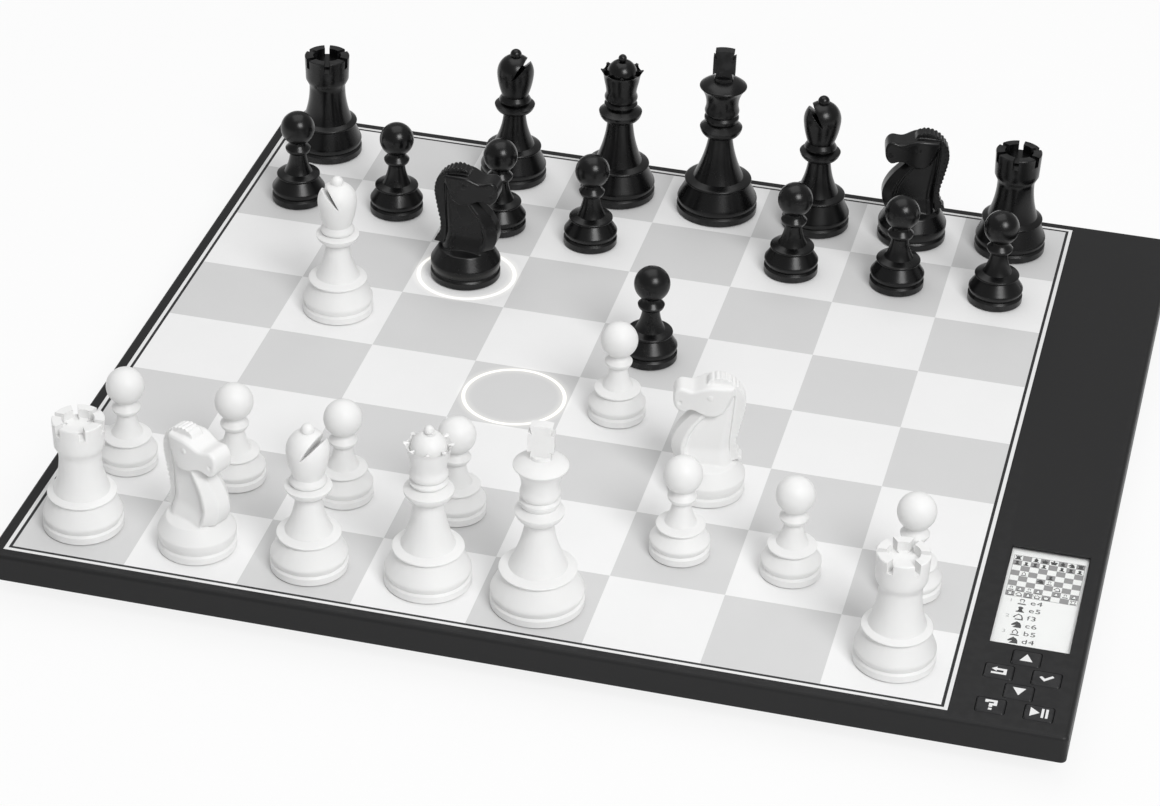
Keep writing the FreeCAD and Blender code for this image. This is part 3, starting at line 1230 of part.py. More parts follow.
def place_man(solids, square, shift_x, shift_y, turn):
    x = FIELD_X + (FILES.index(square[0]) - MIDDLE) * SQUARE + shift_x
    y = (int(square[1]) - 1 - MIDDLE) * SQUARE + shift_y
    man = Part.makeCompound(solids)
    man.rotate(vec(0, 0, 0), vec(0, 0, 1), turn)
    man.translate(vec(x, y, TOTAL_HEIGHT))
    return man


def build():
    parts = {
        "upper_case": upper_case(),
        "lower_case": lower_case(),
        "rubber_feet": rubber_feet(),
        "case_screws": case_screws(),
        "small_screws": small_screws(),
        "board_panel": board_panel(),
        "light_grid": light_grid(),
        "ring_light_guides": ring_light_guides(),
        "square_leds": square_leds(),
        "sensor_board": sensor_board(),
        "main_board": main_board(),
        "processor_module": processor_module(),
        "buzzer": buzzer(),
        "charge_socket": charge_socket(),
        "battery_pack": battery_pack(),
        "battery_bracket": battery_bracket(),
        "display_window": display_window(),
        "epaper_display": epaper_display(),
        "display_bracket": display_bracket(),
        "flat_cables": flat_cables(),
        "key_board": key_board(),
        "key_switches": key_switches(),
    }
    for name in KEYS:
        parts[name] = key(name)
    forms = {form: form() for form in (king, queen, rook, bishop, knight, pawn)}
    for name, (form, square, shift_x, shift_y, turn) in MEN.items():
        parts[name] = place_man(forms[form], square, shift_x, shift_y, turn)
    return parts


os.makedirs("parts", exist_ok=True)
for node, shape in build().items():
    shape.exportStep(os.path.join("parts", node + ".step"))
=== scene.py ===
"""Finishes, print, legends and studio for an electronic chess computer with its chess set."""

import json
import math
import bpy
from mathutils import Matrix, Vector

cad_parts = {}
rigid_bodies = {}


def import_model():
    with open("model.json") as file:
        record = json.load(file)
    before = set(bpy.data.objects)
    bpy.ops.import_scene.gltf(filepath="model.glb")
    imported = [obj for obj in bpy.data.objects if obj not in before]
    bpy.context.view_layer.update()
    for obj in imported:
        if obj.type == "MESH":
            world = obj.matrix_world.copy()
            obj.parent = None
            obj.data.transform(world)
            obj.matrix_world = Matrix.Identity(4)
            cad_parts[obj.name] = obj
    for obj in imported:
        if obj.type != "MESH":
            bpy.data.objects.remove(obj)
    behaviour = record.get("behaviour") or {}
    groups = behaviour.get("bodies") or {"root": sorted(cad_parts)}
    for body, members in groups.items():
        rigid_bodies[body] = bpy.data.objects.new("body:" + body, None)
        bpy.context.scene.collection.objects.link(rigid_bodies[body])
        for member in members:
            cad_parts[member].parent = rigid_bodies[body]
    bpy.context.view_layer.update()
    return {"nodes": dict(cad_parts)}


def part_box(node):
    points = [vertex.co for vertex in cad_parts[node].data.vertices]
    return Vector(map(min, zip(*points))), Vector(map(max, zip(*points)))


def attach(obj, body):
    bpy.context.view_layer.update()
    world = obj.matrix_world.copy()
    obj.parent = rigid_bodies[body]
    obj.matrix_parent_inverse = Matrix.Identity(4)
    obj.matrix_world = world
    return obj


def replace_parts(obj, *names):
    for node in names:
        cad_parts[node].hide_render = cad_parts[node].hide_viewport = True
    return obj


bl_info = {
    "name": "Chess computer finishes",
    "version": (1, 0, 0),
    "blender": (4, 5, 0),
    "location": "View3D > Sidebar > Chess Computer",
    "description": "Dresses the chess computer with its plastics, printed board, screen, legends and studio",
    "category": "Object",
}

import bmesh
import bpy
from bpy.props import FloatProperty, FloatVectorProperty, PointerProperty, StringProperty
from bpy.types import Operator, Panel, PropertyGroup
from mathutils import Matrix, Vector

for leftover in list(bpy.data.objects):
    bpy.data.objects.remove(leftover)
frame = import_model()
SLOT_OF = {name: node.data.materials[0].name for name, node in frame["nodes"].items()}
BOARD_LOW, BOARD_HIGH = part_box("board_panel")
BOARD_MIDDLE = (BOARD_LOW + BOARD_HIGH) / 2
PANE_LOW, PANE_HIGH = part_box("display_window")
SHEET_LOW, SHEET_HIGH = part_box("epaper_display")

MM = 0.001
FILES = "abcdefgh"
CASE = "case"


def length(name, description, millimetres):
    """Length that a user may change, given in millimetres."""
    return FloatProperty(name=name, description=description, default=millimetres * MM, min=0.0,
                         precision=5, unit="LENGTH")


def share(name, description, value):
    return FloatProperty(name=name, description=description, default=value, min=0.0, max=1.0,
                         subtype="FACTOR")


def colour(name, description, value):
    return FloatVectorProperty(name=name, description=description, default=value, size=3, min=0.0, max=1.0,
                               subtype="COLOR")


def spot(name, description, value):
    return FloatVectorProperty(name=name, description=description, default=value, size=3,
                               subtype="TRANSLATION")


def power(name, description, watts):
    return FloatProperty(name=name, description=description, default=watts, unit="POWER")


class BoardLook(PropertyGroup):
    """Print and lights of the playing surface."""

    square: length("Square", "Side of one square", 48.0)
    light_squares: colour("Light squares", "Print of the light squares", (0.85, 0.85, 0.85))
    dark_squares: colour("Dark squares", "Print of the dark squares", (0.64, 0.64, 0.64))
    border: colour("Border", "Black border print", (0.022, 0.022, 0.023))
    white_line: colour("Border line", "White line in the border", (0.78, 0.78, 0.78))
    inner_line: length("Inner line", "Width of the black line round the squares", 1.3)
    outer_line: length("Outer line", "Width of the white line outside it", 1.6)
    lit_squares: StringProperty(name="Lit squares", description="Squares whose ring is lit", default="c6 d4")
    ring_radius: length("Ring radius", "Middle of a lit ring", 22.3)
    ring_width: length("Ring width", "Bright width of a lit ring", 1.6)
    ring_halo: length("Ring halo", "Width of the soft glow beside a ring", 4.0)
    ring_light: colour("Ring light", "Colour of a lit ring", (1.0, 0.97, 0.86))
    ring_power: share("Ring power", "Strength of the lit rings", 0.55)
    halo_power: share("Halo power", "Strength of the glow beside a ring", 0.22)


class MenLook(PropertyGroup):
    """Plastic and felt of the chess men."""

    light: colour("Light men", "Plastic of the light men", (0.83, 0.83, 0.825))
    # Edge colours of the men are lighter than their plastic: partly wear, partly a painted edge highlight
    light_edge_wear_and_highlight: colour("Light edges", "Rubbed edges of the light men", (0.86, 0.86, 0.855))
    dark: colour("Dark men", "Plastic of the dark men", (0.0018, 0.0018, 0.0020))
    dark_edge_wear_and_highlight: colour("Dark edges", "Rubbed edges of the dark men", (0.020, 0.020, 0.021))
    felt: colour("Felt", "Felt under the men", (0.030, 0.045, 0.034))
    felt_height: length("Felt height", "Part of the felt that shows under a man", 0.3)
    grain: length("Grain", "Size of the mould grain", 0.35)
    carving: length("Carving", "Fineness of the carved knights", 0.3)
    cup_radius: length("Cup radius", "Inside of the rook's crown in the solid", 8.6)
    cup_depth: length("Cup depth", "Depth of the rook's crown in the solid", 6.6)
    battlement: length("Battlement", "How much thicker the battlements are", 1.9)
    cup_fill: length("Cup fill", "How much shallower the crown is", 2.6)


class CaseLook(PropertyGroup):
    """Case plastic, feet and screws."""

    plastic: colour("Case plastic", "Black moulded plastic", (0.015, 0.015, 0.0155))
    # Lighter edge colour of the case and feet: partly wear, partly a painted edge highlight
    plastic_edge_wear_and_highlight: colour("Case edges", "Rubbed edges of the case", (0.050, 0.050, 0.051))
    rubber: colour("Rubber", "Feet", (0.018, 0.018, 0.018))
    steel: colour("Screw steel", "Plated screws", (0.42, 0.42, 0.43))
    grain: length("Grain", "Size of the mould grain", 0.5)


class KeyLook(PropertyGroup):
    """Key caps and their printed signs."""

    cap: colour("Key cap", "Key plastic", (0.017, 0.017, 0.018))
    # Lighter bevel colour of the keys: partly wear, partly a painted edge highlight
    cap_edge_wear_and_highlight: colour("Key edges", "Rubbed bevels of the keys", (0.060, 0.060, 0.061))
    ink: colour("Sign ink", "White print on the keys", (0.78, 0.78, 0.78))
    ink_height: length("Ink height", "Thickness of the print", 0.04)


class ScreenLook(PropertyGroup):
    """Paper-white screen with a diagram and the last moves."""

    paper: colour("Paper", "Blank screen", (0.90, 0.91, 0.90))
    grey: colour("Grey", "Dark squares of the diagram", (0.28, 0.28, 0.28))
    ink: colour("Ink", "Signs and letters", (0.020, 0.020, 0.020))
    faint: colour("Faint ink", "Move numbers", (0.42, 0.42, 0.42))
    pane_side_lap: length("Pane side lap", "Pane beside the window opening", 2.0)
    pane_end_lap: length("Pane end lap", "Pane beyond the window opening", 1.0)
    top_strip: length("Top strip", "Blank strip above the diagram", 3.4)
    margin: length("Margin", "Blank strip at each side of the diagram", 1.2)
    line_pitch: length("Line pitch", "Distance between lines of the move list", 5.44)
    letter: length("Letter", "Height of the letters", 4.3)
    sink: length("Sink", "Space between screen and pane", 0.2)
    layer: length("Layer", "Thickness of one printed layer", 0.03)
    haze: share("Pane haze", "How much the matt pane covers", 0.05)
    frame_line: length("Frame line", "Width of the line round the diagram", 0.18)
    first_line: share("First line", "Middle of the first move below the diagram, in lines", 0.55)
    count_place: length("Number place", "Start of a move's number, from the left of the diagram", 2.2)
    count_share: share("Number size", "Height of the move numbers beside the letters", 0.7)
    sign_place: length("Sign place", "Middle of a move's sign, from the left of the diagram", 7.6)
    sign_size: length("Sign size", "Size of a move's sign", 5.6)
    words_place: length("Words place", "Start of a move's words, from the left of the diagram", 10.9)


class StageLook(PropertyGroup):
    """Camera, lamps, floor and surroundings."""

    camera_place: spot("Camera place", "Where the camera stands", (0.272145, -1.296223, 0.859714))
    camera_turn: FloatVectorProperty(name="Camera turn", description="How the camera is turned", size=3,
                                     default=tuple(math.radians(a) for a in (57.33957, -1.69881, 13.83657)),
                                     subtype="EULER")
    lens: FloatProperty(name="Lens", description="Focal length", default=109.879, unit="CAMERA")
    surround: share("Surroundings", "Light from all round", 0.36)
    key_power: power("Key lamp", "Power of the front lamp", 62.0)
    key_place: spot("Key lamp place", "Where the front lamp hangs", (1.45, -1.75, 2.30))
    key_size: length("Key lamp size", "Side of the front lamp", 1350.0)
    top_power: power("Top lamp", "Power of the lamp above", 11.0)
    top_place: spot("Top lamp place", "Where the lamp above hangs", (-0.20, 0.40, 1.70))
    top_size: length("Top lamp size", "Side of the lamp above", 1600.0)
    floor: colour("Floor", "Pale floor", (0.84, 0.84, 0.84))
    floor_white: share("Floor white", "How much of the floor shows as plain white", 0.86)
    floor_size: length("Floor size", "Side of the floor", 9000.0)


def feed(tree, socket, value):
    """Gives an input its value, or the socket that drives it."""
    if isinstance(value, bpy.types.NodeSocket):
        tree.links.new(value, socket)
    elif socket.type == "RGBA" and len(value) == 3:
        socket.default_value = (*value, 1.0)
    else:
        socket.default_value = value


def put(tree, kind, inputs=None, **settings):
    node = tree.nodes.new(kind)
    for name, value in settings.items():
        setattr(node, name, value)
    for name, value in (inputs or {}).items():
        feed(tree, node.inputs[name], value)
    return node


def calc(tree, operation, *values):
    node = put(tree, "ShaderNodeMath", operation=operation)
    for socket, value in zip(node.inputs, values):
        feed(tree, socket, value)
    return node.outputs[0]


def ramp(tree, value, start, end, low=0.0, high=1.0):
    """Smooth change from low to high while value goes from start to end."""
    node = put(tree, "ShaderNodeMapRange", {"Value": value, "From Min": start, "From Max": end,
                                            "To Min": low, "To Max": high}, interpolation_type="SMOOTHSTEP")
    return node.outputs["Result"]


def mix_colours(tree, factor, first, second):
    node = put(tree, "ShaderNodeMix", data_type="RGBA")
    for index, value in ((0, factor), (6, first), (7, second)):
        feed(tree, node.inputs[index], value)
    return node.outputs[2]


def noise(tree, scale, detail=2.0, stretch=None):
    """Noise in the object's own coordinates."""
    place = put(tree, "ShaderNodeTexCoord").outputs["Object"]
    if stretch:
        place = put(tree, "ShaderNodeMapping", {"Vector": place, "Scale": stretch}).outputs[0]
    return put(tree, "ShaderNodeTexNoise", {"Vector": place, "Scale": scale, "Detail": detail}).outputs[0]


def new_group(name, inputs, outputs):
    tree = bpy.data.node_groups.new(name, "ShaderNodeTree")
    for label, kind, value in inputs:
        socket = tree.interface.new_socket(label, in_out="INPUT", socket_type=kind)
        socket.default_value = value
    for label, kind in outputs:
        tree.interface.new_socket(label, in_out="OUTPUT", socket_type=kind)
    return tree, tree.nodes.new("NodeGroupInput").outputs, tree.nodes.new("NodeGroupOutput").inputs


def mould_grain_group():
    """Fine grain left by the mould, and gloss that drifts a little from place to place."""
    tree, start, end = new_group(
        "mould_grain",
        [("Grain Size", "NodeSocketFloat", 0.0005), ("Roughness", "NodeSocketFloat", 0.5),
         ("Spread", "NodeSocketFloat", 0.05)],
        [("Height", "NodeSocketFloat"), ("Roughness", "NodeSocketFloat")])
    scale = calc(tree, "DIVIDE", 1.0, start["Grain Size"])
    feed(tree, end["Height"], noise(tree, scale, 3.0))
    drift = calc(tree, "SUBTRACT", noise(tree, 70.0, 4.0), 0.5)
    swing = calc(tree, "MULTIPLY", drift, start["Spread"])
    feed(tree, end["Roughness"], calc(tree, "MULTIPLY_ADD", swing, 4.0, start["Roughness"]))
    return tree


def wear_and_highlight_colour_group():
    """Colour with lighter sharp edges, partly from wear and partly a painted edge highlight, and a slight
    drift of tone.
    """
    tree, start, end = new_group(
        "wear_and_highlight_colour",
        [("Colour", "NodeSocketColor", (0.5, 0.5, 0.5, 1.0)),
         ("Edge Colour", "NodeSocketColor", (0.6, 0.6, 0.6, 1.0)),
         ("Edge Amount", "NodeSocketFloat", 0.5), ("Drift", "NodeSocketFloat", 0.03)],
        [("Colour", "NodeSocketColor")])
    # Sharp edges are lightened: partly wear, partly a painted edge highlight standing in for gloss catching
    # the light
    sharp = ramp(tree, put(tree, "ShaderNodeNewGeometry").outputs["Pointiness"], 0.51, 0.58)
    patchy = ramp(tree, noise(tree, 220.0, 3.0), 0.35, 0.65)
    edge_wear_and_highlight = calc(tree, "MULTIPLY", calc(tree, "MULTIPLY", sharp, patchy), start["Edge Amount"])
    tint_with_edge_wear_and_highlight = mix_colours(tree, edge_wear_and_highlight, start["Colour"], start["Edge Colour"])
    drift = calc(tree, "SUBTRACT", noise(tree, 45.0, 4.0), 0.5)
    tone = calc(tree, "MULTIPLY_ADD", calc(tree, "MULTIPLY", drift, start["Drift"]), 4.0, 1.0)
    toned = put(tree, "ShaderNodeHueSaturation", {"Color": tint_with_edge_wear_and_highlight, "Value": tone})
    feed(tree, end["Colour"], toned.outputs[0])
    return tree


def rolled_metal_group():
    """Streaks of rolled or turned metal."""
    tree, start, end = new_group(
        "rolled_metal", [("Roughness", "NodeSocketFloat", 0.35), ("Streak Size", "NodeSocketFloat", 0.0004)],
        [("Height", "NodeSocketFloat"), ("Roughness", "NodeSocketFloat")])
    scale = calc(tree, "DIVIDE", 1.0, start["Streak Size"])
    streaks = noise(tree, scale, 2.0, (0.06, 1.0, 1.0))
    feed(tree, end["Height"], streaks)
    feed(tree, end["Roughness"], calc(tree, "MULTIPLY_ADD", streaks, 0.2, start["Roughness"]))
    return tree


GROUP_MAKERS = {
    "mould_grain": mould_grain_group,
    "wear_and_highlight_colour": wear_and_highlight_colour_group,
    "rolled_metal": rolled_metal_group,
}


def effect(tree, name, **inputs):
    """Places a shared effect in a material, and builds it the first time."""
    made = bpy.data.node_groups.get(name) or GROUP_MAKERS[name]()
    node = put(tree, "ShaderNodeGroup", node_tree=made)
    for label, value in inputs.items():
        feed(tree, node.inputs[label.replace("_", " ").title()], value)
    return node.outputs


def new_material(name):
    """Material with an empty surface, its tree and its shader."""
    material = bpy.data.materials.new(name)
    material.use_nodes = True
    tree = material.node_tree
    return material, tree, tree.nodes["Principled BSDF"]


def bump(tree, shader, height, depth):
    node = put(tree, "ShaderNodeBump", {"Strength": 1.0, "Distance": depth, "Height": height})
    feed(tree, shader.inputs["Normal"], node.outputs[0])


def moulded(name, tint, edge, roughness, grain, depth=0.015 * MM, edge_amount=0.6, drift=0.03, spread=0.05,
            specular=0.5):
    """Moulded plastic or rubber with grain, lighter edges from wear and a painted edge highlight, and
    drifting gloss.
    """
    material, tree, shader = new_material(name)
    tone = effect(tree, "wear_and_highlight_colour", colour=tint, edge_colour=edge, edge_amount=edge_amount, drift=drift)
    skin = effect(tree, "mould_grain", grain_size=grain, roughness=roughness, spread=spread)
    feed(tree, shader.inputs["Base Color"], tone["Colour"])
    feed(tree, shader.inputs["Roughness"], skin["Roughness"])
    shader.inputs["Specular IOR Level"].default_value = specular
    bump(tree, shader, skin["Height"], depth)
    return material


def metal(name, tint, roughness):
    material, tree, shader = new_material(name)
    # Edges of the metal are lightened: partly wear, partly a painted edge highlight
    tone = effect(tree, "wear_and_highlight_colour", colour=tint, edge_colour=tuple(min(1.0, 1.3 * v) for v in tint),
                  edge_amount=0.5, drift=0.05)
    skin = effect(tree, "rolled_metal", roughness=roughness, streak_size=0.4 * MM)
    feed(tree, shader.inputs["Base Color"], tone["Colour"])
    feed(tree, shader.inputs["Roughness"], skin["Roughness"])
    shader.inputs["Metallic"].default_value = 1.0
    bump(tree, shader, skin["Height"], 0.008 * MM)
    return material


def paint(slot, material):
    """Gives a finish to each solid of the record's material slot."""
    for name, node in frame["nodes"].items():
        if SLOT_OF[name] == slot:
            node.data.materials.clear()
            node.data.materials.append(material)


def link_mesh(name, mesh, materials):
    made = bpy.data.objects.new(name, mesh)
    bpy.context.scene.collection.objects.link(made)
    for material in materials:
        mesh.materials.append(material)
    return made


def add_plate(form, outline, low, high, finish=0):
    """Thin flat plate with the given outline, as a closed solid."""
    floor = [form.verts.new((x, y, low)) for x, y in outline]
    roof = [form.verts.new((x, y, high)) for x, y in outline]
    faces = [form.faces.new(roof), form.faces.new(list(reversed(floor)))]
    for number, corner in enumerate(floor):
        after = (number + 1) % len(floor)
        faces.append(form.faces.new((corner, floor[after], roof[after], roof[number])))
    for face in faces:
        face.material_index = finish


def finished_mesh(name, form):
    bmesh.ops.recalc_face_normals(form, faces=form.faces)
    mesh = bpy.data.meshes.new(name)
    form.to_mesh(mesh)
    form.free()
    return mesh


def rectangle(low, high):
    return [(low[0], low[1]), (high[0], low[1]), (high[0], high[1]), (low[0], high[1])]


def square_centre(square, side):
    """Middle of a named square, measured from the middle of the board."""
    middle = (len(FILES) - 1) / 2
    return (FILES.index(square[0]) - middle) * side, (int(square[1]) - 1 - middle) * side


class CHESS_OT_dress_case(Operator):
    """Case plastic, rubber feet and case screws"""

    bl_idname = "chess_computer.dress_case"
    bl_label = "Dress the case"

    def execute(self, context):
        look = context.scene.chess_case
        # Edges of the case and feet are lightened: partly wear, partly a painted edge highlight
        paint("case_plastic", moulded("case_plastic", look.plastic, look.plastic_edge_wear_and_highlight, roughness=0.46,
                                      grain=look.grain, depth=0.02 * MM, edge_amount=0.12, drift=0.015,
                                      spread=0.015, specular=0.24))
        paint("foot_rubber", moulded("foot_rubber", look.rubber, look.plastic_edge_wear_and_highlight, roughness=0.75,
                                     grain=0.8 * MM, depth=0.03 * MM, edge_amount=0.3))
        paint("screw_steel", metal("screw_steel", look.steel, roughness=0.32))
        return {"FINISHED"}


class CHESS_OT_dress_board(Operator):
    """Printed squares, border lines and the lit rings of the playing surface"""

    bl_idname = "chess_computer.dress_board"
    bl_label = "Dress the playing surface"

    def execute(self, context):
        look = context.scene.chess_board
        material, tree, shader = new_material("playing_surface")
        place = put(tree, "ShaderNodeSeparateXYZ", {
            "Vector": put(tree, "ShaderNodeTexCoord").outputs["Object"]})
        x = calc(tree, "SUBTRACT", place.outputs["X"], BOARD_MIDDLE.x)
        y = calc(tree, "SUBTRACT", place.outputs["Y"], BOARD_MIDDLE.y)
        tint = self.print_colour(tree, look, x, y)
        tone = effect(tree, "wear_and_highlight_colour", colour=tint, edge_colour=tint, edge_amount=0.0, drift=0.008)
        skin = effect(tree, "mould_grain", grain_size=0.6 * MM, roughness=0.5, spread=0.04)
        feed(tree, shader.inputs["Base Color"], tone["Colour"])
        feed(tree, shader.inputs["Roughness"], skin["Roughness"])
        bump(tree, shader, skin["Height"], 0.006 * MM)
        shader.inputs["Specular IOR Level"].default_value = 0.3
        feed(tree, shader.inputs["Emission Color"], self.ring_colour(tree, look, x, y))
        shader.inputs["Emission Strength"].default_value = look.ring_power
        paint("playing_surface", material)
        return {"FINISHED"}

    def print_colour(self, tree, look, x, y):
        column = calc(tree, "FLOOR", calc(tree, "DIVIDE", x, look.square))
        row = calc(tree, "FLOOR", calc(tree, "DIVIDE", y, look.square))
        odd = calc(tree, "FLOORED_MODULO", calc(tree, "ADD", column, row), 2.0)
        squares = mix_colours(tree, odd, look.dark_squares, look.light_squares)
        out = calc(tree, "MAXIMUM", calc(tree, "ABSOLUTE", x), calc(tree, "ABSOLUTE", y))
        edge = look.square * len(FILES) / 2
        black = calc(tree, "GREATER_THAN", out, edge)
        lined = mix_colours(tree, black, squares, look.border)
        over = calc(tree, "SUBTRACT", out, edge + look.inner_line + look.outer_line / 2)
        white = calc(tree, "LESS_THAN", calc(tree, "ABSOLUTE", over), look.outer_line / 2)
        return mix_colours(tree, white, lined, look.white_line)

    def ring_colour(self, tree, look, x, y):
        """Light of the rings: a bright line with a soft glow at both sides."""
        glow = None
        for square in look.lit_squares.split():
            ring_x, ring_y = square_centre(square, look.square)
            away_x = calc(tree, "POWER", calc(tree, "SUBTRACT", x, ring_x), 2.0)
            away_y = calc(tree, "POWER", calc(tree, "SUBTRACT", y, ring_y), 2.0)
            radius = calc(tree, "SQRT", calc(tree, "ADD", away_x, away_y))
            off = calc(tree, "ABSOLUTE", calc(tree, "SUBTRACT", radius, look.ring_radius))
            line = ramp(tree, off, look.ring_width * 0.3, look.ring_width * 0.75, 1.0, 0.0)
            halo = ramp(tree, off, 0.0, look.ring_halo, look.halo_power, 0.0)
            ring = calc(tree, "MAXIMUM", line, halo)
            glow = ring if glow is None else calc(tree, "MAXIMUM", glow, ring)
        return mix_colours(tree, glow, (0.0, 0.0, 0.0), look.ring_light)


class CHESS_OT_dress_men(Operator):
    """Satin plastic and felt of the light and dark chess men"""

    bl_idname = "chess_computer.dress_men"
    bl_label = "Dress the chess men"

    def execute(self, context):
        look = context.scene.chess_men
        # Edges of the men are lightened: partly wear, partly a painted edge highlight
        paint("light_men", self.man_plastic("light_men", look, look.light, look.light_edge_wear_and_highlight,
                                            roughness=0.42, specular=0.25))
        paint("dark_men", self.man_plastic("dark_men", look, look.dark, look.dark_edge_wear_and_highlight,
                                           roughness=0.28, specular=0.38))
        return {"FINISHED"}

    def man_plastic(self, name, look, tint, edge, roughness, specular):
        material = moulded(name, tint, edge, roughness, look.grain, depth=0.005 * MM, edge_amount=0.7,
                           drift=0.02, spread=0.05, specular=specular)
        tree = material.node_tree
        shader = tree.nodes["Principled BSDF"]
        place = put(tree, "ShaderNodeTexCoord").outputs["Object"]
        height = put(tree, "ShaderNodeSeparateXYZ", {"Vector": place}).outputs["Z"]
        felt = calc(tree, "LESS_THAN", height, BOARD_HIGH.z + look.felt_height * 0.9)
        nap = ramp(tree, noise(tree, 2500.0, 2.0), 0.3, 0.7)
        napped = mix_colours(tree, nap, look.felt, tuple(1.6 * v for v in look.felt))
        plain = shader.inputs["Base Color"].links[0].from_socket
        feed(tree, shader.inputs["Base Color"], mix_colours(tree, felt, plain, napped))
        gloss = shader.inputs["Roughness"].links[0].from_socket
        feed(tree, shader.inputs["Roughness"], calc(tree, "MAXIMUM", gloss, felt))
        return material


# Where the nose of each knight points, in degrees from the right of the player
KNIGHT_TURNS = {
    "white_kings_knight": 192.0,
    "white_queens_knight": -24.0,
    "black_kings_knight": 192.0,
    "black_queens_knight": 0.0,
}
# Where the slit of each bishop's mitre points, in degrees
MITRE_TURNS = {
    "white_kings_bishop": 208.0,
    "white_queens_bishop": -12.0,
    "black_kings_bishop": 198.0,
    "black_queens_bishop": -4.0,
}
# Sunk side of a knight's neck, in millimetres towards the nose and up from the board
NECK_PANEL = [(2.4, 39.8), (-1.6, 39.5), (-4.9, 41.3), (-6.9, 45.2), (-8.4, 49.4), (-14.0, 49.4),
              (-14.0, 8.0), (9.0, 8.0), (9.2, 17.0), (10.6, 24.0), (9.2, 30.0), (6.4, 35.0), (3.0, 39.0)]
# How far the panel sinks, and the stretches over which it fades in from its edge, the mane and the base
PANEL_SINK = 1.9
PANEL_EDGE = 1.3
PANEL_SIDE, PANEL_SIDE_FADE = 3.2, 1.6
PANEL_FOOT, PANEL_FOOT_FADE = 16.0, 8.0
# Knight's neck, the rim of its base and the widening of the base below the rim
NECK_FOOT = 17.0
KNIGHT_RIM, KNIGHT_RIM_HEIGHT = 12.4, 15.6
KNIGHT_BASE_SLOPE = 0.58
# Crest of the mane: middle and radius of its bend, half thickness, and pitch and depth of its grooves
CREST_NOSE, CREST_HEIGHT = -3.0, 46.0
CREST_INSIDE, CREST_OUTSIDE = 8.6, 11.0
CREST_HALF = 3.4
TOOTH_PITCH, TOOTH_DEPTH = 2.1, 0.42
# Queen's crown: foot and inside of its wall, lift and fade of the wall, height of its dips, share of points
CROWN_FOOT, CROWN_INSIDE = 60.5, 7.6
CROWN_LIFT, CROWN_FADE = 2.2, 3.0
CROWN_DIP, POINT_SHARE = 63.0, 0.5
# Queen's dome and ball in the solid, and their change of size
DOME_FOOT, DOME_RISE, DOME_SPREAD = 62.6, 1.11, 1.12
BALL_FOOT, BALL_REACH = 70.2, 2.5
BALL_TOP, BALL_DROP, BALL_SHRINK = 74.8, 0.4, 0.85
# Bishop's mitre as radius and height: foot, widest place and top, and the fullness between them
MITRE_FOOT, MITRE_FOOT_HEIGHT = 6.3, 44.4
MITRE_WIDE, MITRE_WIDE_HEIGHT = 8.8, 55.2
MITRE_TOP_HEIGHT = 65.2
MITRE_FULL = 0.4
MITRE_BALL, MITRE_BALL_HEIGHT = 2.8, 65.6
MITRE_LOW_STEPS, MITRE_HIGH_STEPS, MITRE_SIDES = 40, 50, 220
# Slit of the mitre: its root, its lean, half its width at the root and its opening
SLIT_REACH, SLIT_HEIGHT = 1.0, 55.4
SLIT_LEAN = math.radians(33.7)
SLIT_HALF, SLIT_OPENING = 0.35, 0.10
# Height of the edge that the base of a man slopes in from, and its step in to the rim
BASE_EDGE = 7.0
RIM_STEP = 1.2
# Band at the foot of a man that gives its axis, and the height from which a carved knight is smoothed
FOOT_BAND = 3.0
SMOOTH_FROM = 5.5
# Reach within which a corner counts as lying on a seam of the solid
SEAM = 0.2
# Sharpest bend that stays smooth on a turned man
CREASE = math.radians(38.0)
# Radius and height of the rim above the base of each turned man, in millimetres
RIMS = {
    "pawn": (10.3, 12.4),
    "rook": (14.3, 15.2),
    "bishop": (13.3, 15.2),
    "queen": (14.8, 15.4),
    "king": (16.0, 15.6),
}


def depth_inside(outline, x, y):
    """Distance from a point to an outline, or zero outside it."""
    inside = False
    nearest = math.inf
    for (ax, ay), (bx, by) in zip(outline, outline[1:] + outline[:1]):
        if (ay > y) != (by > y) and x < ax + (y - ay) / (by - ay) * (bx - ax):
            inside = not inside
        along = ((x - ax) * (bx - ax) + (y - ay) * (by - ay)) / ((bx - ax) ** 2 + (by - ay) ** 2)
        along = min(1.0, max(0.0, along))
        nearest = min(nearest, math.hypot(x - ax - along * (bx - ax), y - ay - along * (by - ay)))
    return nearest if inside else 0.0


def smooth_step(value):
    value = min(1.0, max(0.0, value))
    return value * value * (3.0 - 2.0 * value)


